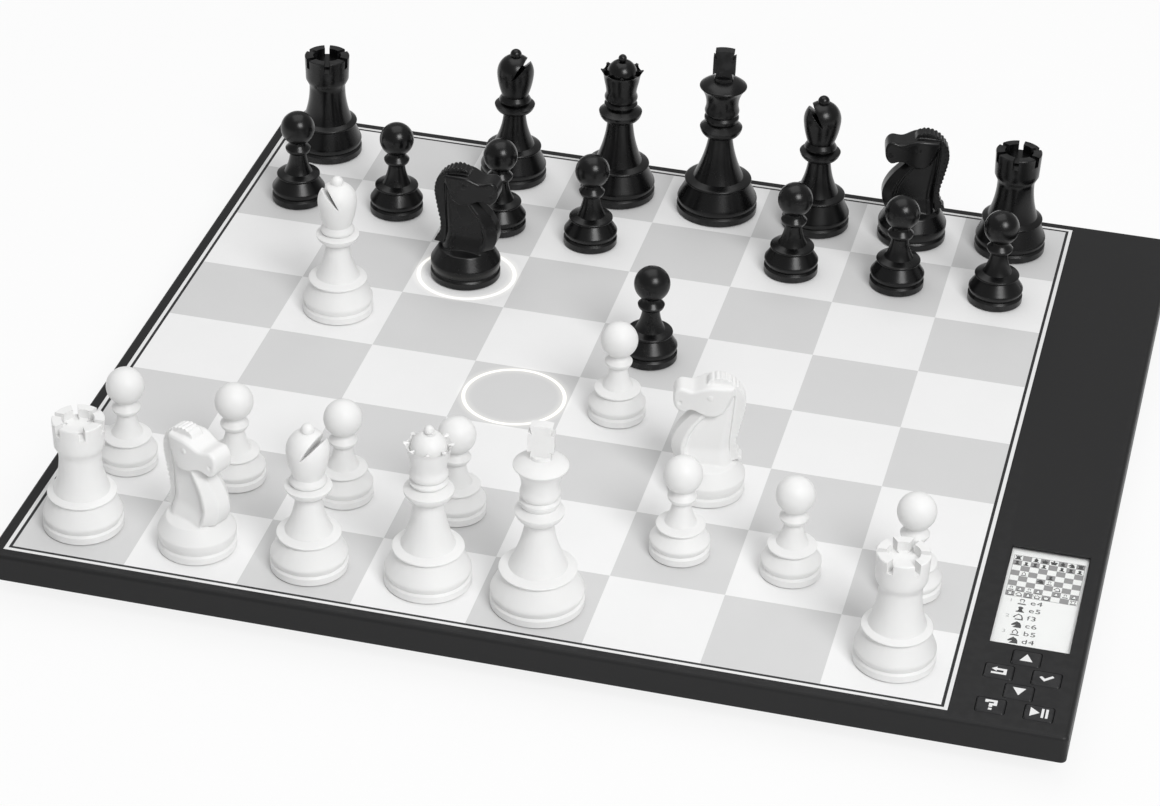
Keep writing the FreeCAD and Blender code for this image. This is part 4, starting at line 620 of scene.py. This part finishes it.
class CHESS_OT_carve_men(Operator):
    """Finer forms of the chess men: sloped bases, crowns, mitres, battlements and carved knights"""

    bl_idname = "chess_computer.carve_men"
    bl_label = "Carve the chess men"

    def execute(self, context):
        look = context.scene.chess_men
        for name, slot in SLOT_OF.items():
            if name in KNIGHT_TURNS:
                mesh = self.knight_mesh(context, name, math.radians(KNIGHT_TURNS[name]), look)
                self.take_place(name, mesh)
            elif slot in ("light_men", "dark_men"):
                self.take_place(name, self.turned_mesh(name, look), CREASE)
        return {"FINISHED"}

    def take_place(self, name, mesh, crease=math.pi):
        mesh.shade_smooth()
        mesh.set_sharp_from_angle(angle=crease)
        piece = link_mesh(name + "_carved", mesh, [bpy.data.materials[SLOT_OF[name]]])
        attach(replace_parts(piece, name), name)

    def welded(self, name):
        form = bmesh.new()
        form.from_mesh(frame["nodes"][name].data)
        bmesh.ops.remove_doubles(form, verts=form.verts, dist=0.001 * MM)
        return form

    def axis_of(self, name):
        low, high = Vector((math.inf, math.inf)), Vector((-math.inf, -math.inf))
        for corner in frame["nodes"][name].data.vertices:
            if corner.co.z < BOARD_HIGH.z + FOOT_BAND * MM:
                low = Vector(map(min, low, corner.co.xy))
                high = Vector(map(max, high, corner.co.xy))
        return (low + high) / 2

    def knight_mesh(self, context, name, turn, look):
        rough = finished_mesh(name + "_rough", self.welded(name))
        carrier = link_mesh(name + "_rough", rough, [])
        remesh = carrier.modifiers.new("remesh", "REMESH")
        remesh.mode = "VOXEL"
        remesh.voxel_size = look.carving
        mesh = bpy.data.meshes.new_from_object(carrier.evaluated_get(context.evaluated_depsgraph_get()))
        bpy.data.objects.remove(carrier)
        bpy.data.meshes.remove(rough)
        form = bmesh.new()
        form.from_mesh(mesh)
        bpy.data.meshes.remove(mesh)
        axis = self.axis_of(name)
        self.shape_knight(form, axis, turn)
        upper = [corner for corner in form.verts if corner.co.z > BOARD_HIGH.z + SMOOTH_FROM * MM]
        bmesh.ops.smooth_vert(form, verts=upper, factor=0.5, use_axis_x=True, use_axis_y=True,
                              use_axis_z=True)
        return finished_mesh(name + "_carved", form)

    def shape_knight(self, form, axis, turn):
        """Sinks the sides of the neck, cuts the crest into teeth and slopes the base."""
        cos, sin = math.cos(turn), math.sin(turn)
        for corner in form.verts:
            x, y = (corner.co.xy - axis) / MM
            nose, side = cos * x + sin * y, cos * y - sin * x
            up = (corner.co.z - BOARD_HIGH.z) / MM
            if up > NECK_FOOT:
                fade = smooth_step((abs(side) - PANEL_SIDE) / PANEL_SIDE_FADE)
                fade *= smooth_step((up - PANEL_FOOT) / PANEL_FOOT_FADE)
                if fade:
                    sunk = PANEL_SINK * fade * smooth_step(depth_inside(NECK_PANEL, nose, up) / PANEL_EDGE)
                    side -= math.copysign(sunk, side)
                nose, up = self.tooth(nose, side, up)
            elif up > BASE_EDGE:
                out = math.hypot(nose, side)
                most = KNIGHT_RIM + (KNIGHT_RIM_HEIGHT - up) * KNIGHT_BASE_SLOPE
                if out > most:
                    nose, side = nose * most / out, side * most / out
            corner.co.x = axis.x + (cos * nose - sin * side) * MM
            corner.co.y = axis.y + (sin * nose + cos * side) * MM
            corner.co.z = BOARD_HIGH.z + up * MM

    def tooth(self, nose, side, up):
        """Moves a point of the crest inwards where it lies in a groove between two teeth."""
        if abs(side) > CREST_HALF or nose > 0.0:
            return nose, up
        back, rise = CREST_NOSE - nose, up - CREST_HEIGHT
        if rise > 0.0:
            angle = math.atan2(back, rise)
            out, along = math.hypot(back, rise) - CREST_INSIDE, CREST_OUTSIDE * angle
            inward = math.sin(angle), -math.cos(angle)
        else:
            out, along = -CREST_OUTSIDE - nose, CREST_OUTSIDE * math.pi / 2 - rise
            inward = 1.0, 0.0
        wave = 0.5 + 0.5 * math.cos(math.tau * along / TOOTH_PITCH)
        cut = TOOTH_DEPTH * smooth_step(out) * wave ** 2
        return nose + inward[0] * cut, up + inward[1] * cut

    def turned_mesh(self, name, look):
        form = self.welded(name)
        axis = self.axis_of(name)
        kind = next(word for word in name.split("_") if word in RIMS)
        self.slope_base(form, axis, *RIMS[kind])
        if kind == "rook":
            self.thicken_crown(form, axis, look)
        elif kind == "queen":
            self.raise_crown(form, axis)
        elif kind == "bishop":
            self.cut_mitre(form, axis, math.radians(MITRE_TURNS[name]))
        mesh = finished_mesh(name + "_carved", form)
        if "custom_normal" in mesh.attributes:
            mesh.attributes.remove(mesh.attributes["custom_normal"])
        return mesh

    def slope_base(self, form, axis, rim_radius, rim_height):
        """Pulls the upper part of the base in to a straight slope below the rim."""
        foot, head = BOARD_HIGH.z + BASE_EDGE * MM, BOARD_HIGH.z + rim_height * MM
        base = [corner for corner in form.verts if corner.co.z < head]
        widest = max((corner.co.xy - axis).length for corner in base)
        for corner in base:
            offset = corner.co.xy - axis
            rise = max(0.0, (corner.co.z - foot) / (head - foot))
            most = widest + rise * ((rim_radius - RIM_STEP) * MM - widest)
            if offset.length > most:
                corner.co.xy = axis + offset * most / offset.length

    def raise_crown(self, form, axis):
        """Lifts the points of the queen's crown and fills it with a wider dome under a smaller ball."""
        for corner in form.verts:
            offset = (corner.co.xy - axis) / MM
            up = (corner.co.z - BOARD_HIGH.z) / MM
            if up > CROWN_FOOT and offset.length > CROWN_INSIDE:
                lift = CROWN_LIFT * smooth_step((up - CROWN_DIP + CROWN_FADE) / CROWN_FADE)
                up = min(up, CROWN_DIP) + lift + POINT_SHARE * max(0.0, up - CROWN_DIP)
            elif up > BALL_FOOT and offset.length < BALL_REACH:
                up = BALL_TOP - BALL_DROP - (BALL_TOP - up) * BALL_SHRINK
                offset *= BALL_SHRINK
            elif up > DOME_FOOT - SEAM:
                up = DOME_FOOT + (up - DOME_FOOT) * DOME_RISE
                offset *= DOME_SPREAD
            corner.co.xy = axis + offset * MM
            corner.co.z = BOARD_HIGH.z + up * MM

    def cut_mitre(self, form, axis, turn):
        """Turns the mitre again as a fine form, with a wedge-shaped slit that starts beside the ball."""
        seam = BOARD_HIGH.z + (MITRE_FOOT_HEIGHT + SEAM) * MM
        old = [corner for corner in form.verts if corner.co.z > seam]
        bmesh.ops.delete(form, geom=old, context="VERTS")
        spin = Matrix.Rotation(turn, 2)
        rings = []
        for radius, height in self.mitre_outline():
            ring = []
            for step in range(MITRE_SIDES):
                angle = math.tau * step / MITRE_SIDES
                x, up = self.in_slit(radius * math.cos(angle), height)
                flat = axis + (spin @ Vector((x, radius * math.sin(angle)))) * MM
                ring.append(form.verts.new((flat.x, flat.y, BOARD_HIGH.z + up * MM)))
            rings.append(ring)
        for low, high in zip(rings, rings[1:]):
            for step in range(MITRE_SIDES):
                form.faces.new((low[step - 1], low[step], high[step], high[step - 1]))
        ball = Matrix.Translation((axis.x, axis.y, BOARD_HIGH.z + MITRE_BALL_HEIGHT * MM))
        bmesh.ops.create_uvsphere(form, u_segments=32, v_segments=20, radius=MITRE_BALL * MM, matrix=ball)

    def mitre_outline(self):
        """Radius and height of each ring of the mitre, from its foot to its top."""
        for step in range(MITRE_LOW_STEPS):
            part = step / MITRE_LOW_STEPS
            radius = MITRE_FOOT + (MITRE_WIDE - MITRE_FOOT) * part + 4.0 * MITRE_FULL * part * (1.0 - part)
            yield radius, MITRE_FOOT_HEIGHT + (MITRE_WIDE_HEIGHT - MITRE_FOOT_HEIGHT) * part
        for step in range(MITRE_HIGH_STEPS):
            bend = math.pi / 2 * step / MITRE_HIGH_STEPS
            radius = MITRE_WIDE * math.cos(bend) + MITRE_FULL * math.sin(2.0 * bend)
            yield radius, MITRE_WIDE_HEIGHT + (MITRE_TOP_HEIGHT - MITRE_WIDE_HEIGHT) * math.sin(bend)

    def in_slit(self, x, up):
        """Moves a point of the mitre down towards the root of the slit, if it lies in the slit."""
        out, rise = x - SLIT_REACH, up - SLIT_HEIGHT
        side = out * math.cos(SLIT_LEAN) - rise * math.sin(SLIT_LEAN)
        depth = out * math.sin(SLIT_LEAN) + rise * math.cos(SLIT_LEAN)
        half = SLIT_HALF + SLIT_OPENING * depth
        if depth < 0.0 or abs(side) > half:
            return x, up
        drop = depth * (1.0 - abs(side) / half)
        return x - drop * math.sin(SLIT_LEAN), up - drop * math.cos(SLIT_LEAN)

    def thicken_crown(self, form, axis, look):
        """Moves the inside of a rook's crown inwards and its floor up."""
        floor = max(corner.co.z for corner in form.verts) - look.cup_depth
        near = SEAM * MM / 4
        for corner in form.verts:
            if corner.co.z < floor - 5 * SEAM * MM:
                continue
            offset = corner.co.xy - axis
            if offset.length < look.cup_radius + near:
                corner.co.xy = axis + offset * (look.cup_radius - look.battlement) / look.cup_radius
            if corner.co.z < floor + 2 * near:
                corner.co.z += look.cup_fill


# Outlines of the signs on the keys, in millimetres from the middle of the key
KEY_SIGNS = {
    "key_up": [[(-2.6, -2.3), (2.6, -2.3), (0.0, 2.5)]],
    "key_down": [[(-2.6, 2.4), (0.0, -2.4), (2.6, 2.4)]],
    "key_back": [[(-3.0, 1.0), (-0.9, -0.5), (-0.9, 0.4), (1.8, 0.4), (1.8, -1.0), (-3.0, -1.0),
                  (-3.0, -2.2), (3.1, -2.2), (3.1, 1.6), (-0.9, 1.6), (-0.9, 2.5)]],
    "key_ok": [[(-2.9, 0.3), (-0.8, -2.1), (2.9, 1.3), (2.1, 2.2), (-0.7, -0.3), (-2.0, 1.1)]],
    "key_help": [[(-2.4, 1.4), (-1.1, 1.4), (-1.1, 1.9), (1.1, 1.9), (1.1, 1.0), (-0.7, 1.0), (-0.7, -1.4),
                  (0.7, -1.4), (0.7, -0.3), (2.4, -0.3), (2.4, 3.2), (-2.4, 3.2)],
                 [(-0.7, -3.3), (0.7, -3.3), (0.7, -2.1), (-0.7, -2.1)]],
    "key_play": [[(-3.5, -2.9), (0.2, 0.0), (-3.5, 2.9)],
                 [(0.9, -2.9), (1.9, -2.9), (1.9, 2.9), (0.9, 2.9)],
                 [(2.6, -2.9), (3.6, -2.9), (3.6, 2.9), (2.6, 2.9)]],
}


class CHESS_OT_dress_keys(Operator):
    """Key caps with their printed signs"""

    bl_idname = "chess_computer.dress_keys"
    bl_label = "Dress the keys"

    def execute(self, context):
        look = context.scene.chess_keys
        # Bevels of the keys are lightened: partly wear, partly a painted edge highlight
        paint("key_plastic", moulded("key_plastic", look.cap, look.cap_edge_wear_and_highlight, roughness=0.44, grain=0.4 * MM,
                                     depth=0.012 * MM, edge_amount=0.3, drift=0.02, spread=0.02,
                                     specular=0.26))
        ink = moulded("sign_ink", look.ink, look.ink, roughness=0.55, grain=0.15 * MM, depth=0.004 * MM)
        for name, outlines in KEY_SIGNS.items():
            low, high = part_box(name)
            middle = (low + high) / 2
            form = bmesh.new()
            for outline in outlines:
                points = [(middle.x + x * MM, middle.y + y * MM) for x, y in outline]
                add_plate(form, points, high.z, high.z + look.ink_height)
            sign = link_mesh(name + "_sign", finished_mesh(name + "_sign", form), [ink])
            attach(sign, name)
        return {"FINISHED"}


# Half outlines of the diagram's signs, from foot to crown, in shares of a square
SIGN_HALVES = {
    "p": [(0.30, -0.38), (0.30, -0.28), (0.17, -0.20), (0.10, 0.02), (0.18, 0.09), (0.18, 0.22),
          (0.10, 0.32)],
    "r": [(0.34, -0.38), (0.34, -0.26), (0.23, -0.18), (0.21, 0.14), (0.32, 0.20), (0.32, 0.38),
          (0.20, 0.38), (0.20, 0.30), (0.07, 0.30), (0.07, 0.38)],
    "b": [(0.32, -0.38), (0.32, -0.30), (0.13, -0.22), (0.20, -0.12), (0.23, 0.06), (0.14, 0.22),
          (0.05, 0.31), (0.05, 0.40)],
    "q": [(0.29, -0.38), (0.27, -0.22), (0.43, 0.24), (0.24, -0.02), (0.19, 0.34), (0.08, 0.02),
          (0.02, 0.40)],
    "k": [(0.29, -0.38), (0.27, -0.22), (0.41, 0.02), (0.33, 0.19), (0.16, 0.15), (0.06, 0.08),
          (0.06, 0.24), (0.14, 0.24), (0.14, 0.32), (0.06, 0.32), (0.06, 0.41)],
}
SIGN_KNIGHT = [(-0.28, -0.38), (0.34, -0.38), (0.32, -0.05), (0.20, 0.24), (0.02, 0.34), (-0.03, 0.42),
               (-0.10, 0.32), (-0.26, 0.15), (-0.41, -0.06), (-0.35, -0.16), (-0.22, -0.10), (-0.06, -0.06),
               (-0.18, -0.22)]
DIAGRAM = ("r.bqkbnr", "pppp.ppp", "........", ".B..p...", "...nP...", ".....N..", "PPPP.PPP", "RNBQK..R")
MOVES = (("P", "e4", "1"), ("p", "e5", ""), ("N", "f3", "2"), ("n", "c6", ""), ("B", "b5", "3"),
         ("n", "d4", ""))


class CHESS_OT_dress_screen(Operator):
    """Paper-white screen with its diagram and list of moves, under a matt pane"""

    bl_idname = "chess_computer.dress_screen"
    bl_label = "Dress the screen"

    paper, grey, ink, faint = range(4)

    def execute(self, context):
        look = context.scene.chess_screen
        pane, tree, shader = new_material("window_glass")
        skin = effect(tree, "mould_grain", grain_size=0.3 * MM, roughness=0.28, spread=0.04)
        feed(tree, shader.inputs["Roughness"], skin["Roughness"])
        shader.inputs["Base Color"].default_value = (0.75, 0.75, 0.75, 1.0)
        shader.inputs["Alpha"].default_value = look.haze
        bump(tree, shader, skin["Height"], 0.004 * MM)
        paint("window_glass", pane)
        inks = [moulded("screen_" + name, tint, tint, roughness=0.8, grain=0.2 * MM, depth=0.004 * MM,
                        drift=0.015, specular=0.2)
                for name, tint in (("paper", look.paper), ("grey", look.grey), ("ink", look.ink),
                                   ("faint", look.faint))]
        sheet = link_mesh("screen_sheet", self.sheet_mesh(look), inks)
        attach(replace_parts(sheet, "epaper_display"), CASE)
        return {"FINISHED"}

    def sheet_mesh(self, look):
        form = bmesh.new()
        top = SHEET_HIGH.z - look.sink
        add_plate(form, rectangle(SHEET_LOW, SHEET_HIGH), SHEET_LOW.z, top)
        left = PANE_LOW.x + look.pane_side_lap + look.margin
        right = PANE_HIGH.x - look.pane_side_lap - look.margin
        head = PANE_HIGH.y - look.pane_end_lap - look.top_strip
        side = (right - left) / len(FILES)
        foot = head - len(FILES) * side
        self.add_diagram(form, look, left, head, side, top)
        self.add_frame(form, look, left, right, foot, head, top)
        self.add_moves(form, look, left, foot, top)
        return finished_mesh("screen_sheet", form)

    def add_diagram(self, form, look, left, head, side, top):
        for row, signs in enumerate(DIAGRAM):
            for column, sign in enumerate(signs):
                x = left + (column + 0.5) * side
                y = head - (row + 0.5) * side
                if (row + column) % 2:
                    square = rectangle((-0.5, -0.5), (0.5, 0.5))
                    self.add_sign(form, square, x, y, side, top, look.layer, self.grey)
                self.add_man(form, sign, x, y, side, top + look.layer, look.layer)

    def add_frame(self, form, look, left, right, foot, head, top):
        line = look.frame_line
        for low, high in (((left, foot), (right, foot + line)), ((left, foot), (left + line, head)),
                          ((right - line, foot), (right, head)), ((left, head - line), (right, head))):
            add_plate(form, rectangle(low, high), top, top + 2 * look.layer, self.grey)

    def add_moves(self, form, look, left, foot, top):
        for number, (sign, words, count) in enumerate(MOVES):
            y = foot - (look.first_line + number) * look.line_pitch
            self.add_man(form, sign, left + look.sign_place, y, look.sign_size, top, look.layer)
            self.add_words(form, words, left + look.words_place, y, look.letter, top, look.layer, self.ink)
            self.add_words(form, count, left + look.count_place, y, look.letter * look.count_share, top,
                           look.layer, self.faint)

    def add_sign(self, form, outline, x, y, scale, low, layer, finish):
        add_plate(form, [(x + scale * px, y + scale * py) for px, py in outline], low, low + layer, finish)

    def add_man(self, form, sign, x, y, side, low, layer):
        """Sign of a chess man: black, or an outline filled with paper white."""
        if sign == ".":
            return
        half = SIGN_HALVES.get(sign.lower())
        outline = half + [(-px, py) for px, py in reversed(half)] if half else SIGN_KNIGHT
        self.add_sign(form, outline, x, y, side, low, layer, self.ink)
        if sign.isupper():
            self.add_sign(form, outline, x, y, side * 0.66, low + layer, layer, self.paper)

    def add_words(self, form, words, x, y, height, low, layer, finish):
        if not words:
            return
        curve = bpy.data.curves.new("move_words", "FONT")
        curve.body = words
        curve.size = height
        curve.extrude = layer / 2
        curve.space_character = 1.1
        carrier = bpy.data.objects.new("move_words", curve)
        mesh = bpy.data.meshes.new_from_object(carrier)
        stretch = Matrix.Diagonal((1.15, 1.0, 1.0, 1.0))
        mesh.transform(Matrix.Translation((x, y - height * 0.33, low + layer / 2)) @ stretch)
        known = len(form.faces)
        form.from_mesh(mesh)
        form.faces.ensure_lookup_table()
        for face in form.faces[known:]:
            face.material_index = finish
        bpy.data.objects.remove(carrier)
        bpy.data.curves.remove(curve)
        bpy.data.meshes.remove(mesh)


class CHESS_OT_dress_inside(Operator):
    """Circuit boards, light guides, battery and the other inner pieces"""

    bl_idname = "chess_computer.dress_inside"
    bl_label = "Dress the inside"

    def execute(self, context):
        paint("strap_steel", metal("strap_steel", (0.46, 0.46, 0.47), 0.36))
        paint("shield_metal", metal("shield_metal", (0.60, 0.60, 0.59), 0.30))
        plastics = {
            "grid_plastic": ((0.74, 0.74, 0.73), 0.6),
            "led_body": ((0.72, 0.69, 0.52), 0.4),
            "buzzer_plastic": ((0.020, 0.020, 0.020), 0.5),
            "battery_wrap": ((0.05, 0.16, 0.36), 0.35),
            "cable_film": ((0.46, 0.24, 0.06), 0.35),
            "switch_body": ((0.055, 0.055, 0.055), 0.45),
        }
        for slot, (tint, roughness) in plastics.items():
            # Edges of the inner plastics are lightened: partly wear, partly a painted edge highlight
            edge = tuple(min(1.0, 1.4 * v) for v in tint)
            paint(slot, moulded(slot, tint, edge, roughness, 0.4 * MM))
        paint("light_guide", self.clear_plastic())
        paint("circuit_board", self.circuit_board())
        return {"FINISHED"}

    def clear_plastic(self):
        material, tree, shader = new_material("light_guide")
        skin = effect(tree, "mould_grain", grain_size=0.5 * MM, roughness=0.2, spread=0.03)
        feed(tree, shader.inputs["Roughness"], skin["Roughness"])
        shader.inputs["Base Color"].default_value = (0.92, 0.92, 0.90, 1.0)
        shader.inputs["Transmission Weight"].default_value = 0.8
        return material

    def circuit_board(self):
        """Green board with copper runs under its lacquer."""
        material, tree, shader = new_material("circuit_board")
        place = put(tree, "ShaderNodeTexCoord").outputs["Object"]
        runs = put(tree, "ShaderNodeTexBrick", {"Vector": place, "Scale": 90.0, "Mortar Size": 0.012,
                                                "Color1": (0.010, 0.090, 0.035),
                                                "Color2": (0.012, 0.105, 0.040),
                                                "Mortar": (0.030, 0.190, 0.070)})
        tone = effect(tree, "wear_and_highlight_colour", colour=runs.outputs["Color"], edge_colour=(0.30, 0.26, 0.14),
                      edge_amount=0.6, drift=0.04)
        skin = effect(tree, "mould_grain", grain_size=0.8 * MM, roughness=0.3, spread=0.05)
        feed(tree, shader.inputs["Base Color"], tone["Colour"])
        feed(tree, shader.inputs["Roughness"], skin["Roughness"])
        bump(tree, shader, runs.outputs["Fac"], 0.02 * MM)
        return material


class CHESS_OT_build_stage(Operator):
    """Camera, soft lamps, pale floor and even light from all round"""

    bl_idname = "chess_computer.build_stage"
    bl_label = "Build the studio"

    def execute(self, context):
        scene = context.scene
        look = scene.chess_stage
        scene.view_settings.view_transform = "Standard"
        self.build_camera(scene, look)
        self.build_floor(scene, look)
        self.build_world(scene, look)
        self.build_lamp(scene, "key_lamp", look.key_place, look.key_size, look.key_power)
        self.build_lamp(scene, "top_lamp", look.top_place, look.top_size, look.top_power)
        return {"FINISHED"}

    def build_camera(self, scene, look):
        camera = bpy.data.objects.new("camera", bpy.data.cameras.new("camera"))
        scene.collection.objects.link(camera)
        camera.location = look.camera_place
        camera.rotation_euler = look.camera_turn
        camera.data.sensor_width = 36.0
        camera.data.lens = look.lens
        scene.camera = camera

    def build_floor(self, scene, look):
        half = look.floor_size / 2
        form = bmesh.new()
        form.faces.new([form.verts.new((x, y, 0.0)) for x, y in rectangle((-half, -half), (half, half))])
        material, tree, shader = new_material("studio_floor")
        shader.inputs["Base Color"].default_value = (*look.floor, 1.0)
        shader.inputs["Roughness"].default_value = 0.9
        shader.inputs["Specular IOR Level"].default_value = 0.1
        glow = put(tree, "ShaderNodeEmission", {"Color": (1.0, 1.0, 1.0), "Strength": 1.0})
        both = put(tree, "ShaderNodeMixShader", {
            0: calc(tree, "MULTIPLY", self.seen(tree), look.floor_white),
            1: shader.outputs[0], 2: glow.outputs[0]})
        feed(tree, tree.nodes["Material Output"].inputs["Surface"], both.outputs[0])
        link_mesh("studio_floor", finished_mesh("studio_floor", form), [material])

    def build_world(self, scene, look):
        world = bpy.data.worlds.new("studio")
        scene.world = world
        world.use_nodes = True
        sky = world.node_tree.nodes["Background"]
        sky.inputs["Color"].default_value = (1.0, 1.0, 1.0, 1.0)
        sky.inputs["Strength"].default_value = look.surround

    def seen(self, tree):
        """One for rays that show the background itself, also in gloss and glass."""
        path = put(tree, "ShaderNodeLightPath").outputs
        direct = calc(tree, "MAXIMUM", path["Is Camera Ray"], path["Is Glossy Ray"])
        return calc(tree, "MAXIMUM", direct, path["Is Transmission Ray"])

    def build_lamp(self, scene, name, place, size, watts):
        lamp = bpy.data.objects.new(name, bpy.data.lights.new(name, "AREA"))
        scene.collection.objects.link(lamp)
        lamp.location = place
        lamp.rotation_euler = (BOARD_MIDDLE - Vector(place)).to_track_quat("-Z", "Y").to_euler()
        lamp.data.size = size
        lamp.data.energy = watts


LOOKS = {
    "chess_case": CaseLook,
    "chess_board": BoardLook,
    "chess_men": MenLook,
    "chess_keys": KeyLook,
    "chess_screen": ScreenLook,
    "chess_stage": StageLook,
}
OPERATORS = (CHESS_OT_build_stage, CHESS_OT_dress_case, CHESS_OT_dress_board, CHESS_OT_dress_men,
             CHESS_OT_carve_men, CHESS_OT_dress_keys, CHESS_OT_dress_screen, CHESS_OT_dress_inside)


class CHESS_PT_finishes(Panel):
    """Lists the finishes and what they are made from"""

    bl_idname = "CHESS_PT_finishes"
    bl_label = "Chess Computer"
    bl_space_type = "VIEW_3D"
    bl_region_type = "UI"
    bl_category = "Chess Computer"

    def draw(self, context):
        for operator in OPERATORS:
            self.layout.operator(operator.bl_idname)
        for name, look in LOOKS.items():
            box = self.layout.box()
            box.label(text=look.__doc__)
            for key in look.__annotations__:
                box.prop(getattr(context.scene, name), key)


def register():
    for made in (*LOOKS.values(), *OPERATORS, CHESS_PT_finishes):
        bpy.utils.register_class(made)
    for name, look in LOOKS.items():
        setattr(bpy.types.Scene, name, PointerProperty(type=look))


def unregister():
    for name in LOOKS:
        delattr(bpy.types.Scene, name)
    for made in reversed((*LOOKS.values(), *OPERATORS, CHESS_PT_finishes)):
        bpy.utils.unregister_class(made)


def main():
    register()
    for material in list(bpy.data.materials):
        bpy.data.materials.remove(material)
    for operator in OPERATORS:
        group, action = operator.bl_idname.split(".")
        getattr(getattr(bpy.ops, group), action)()


if __name__ == "__main__":
    main()
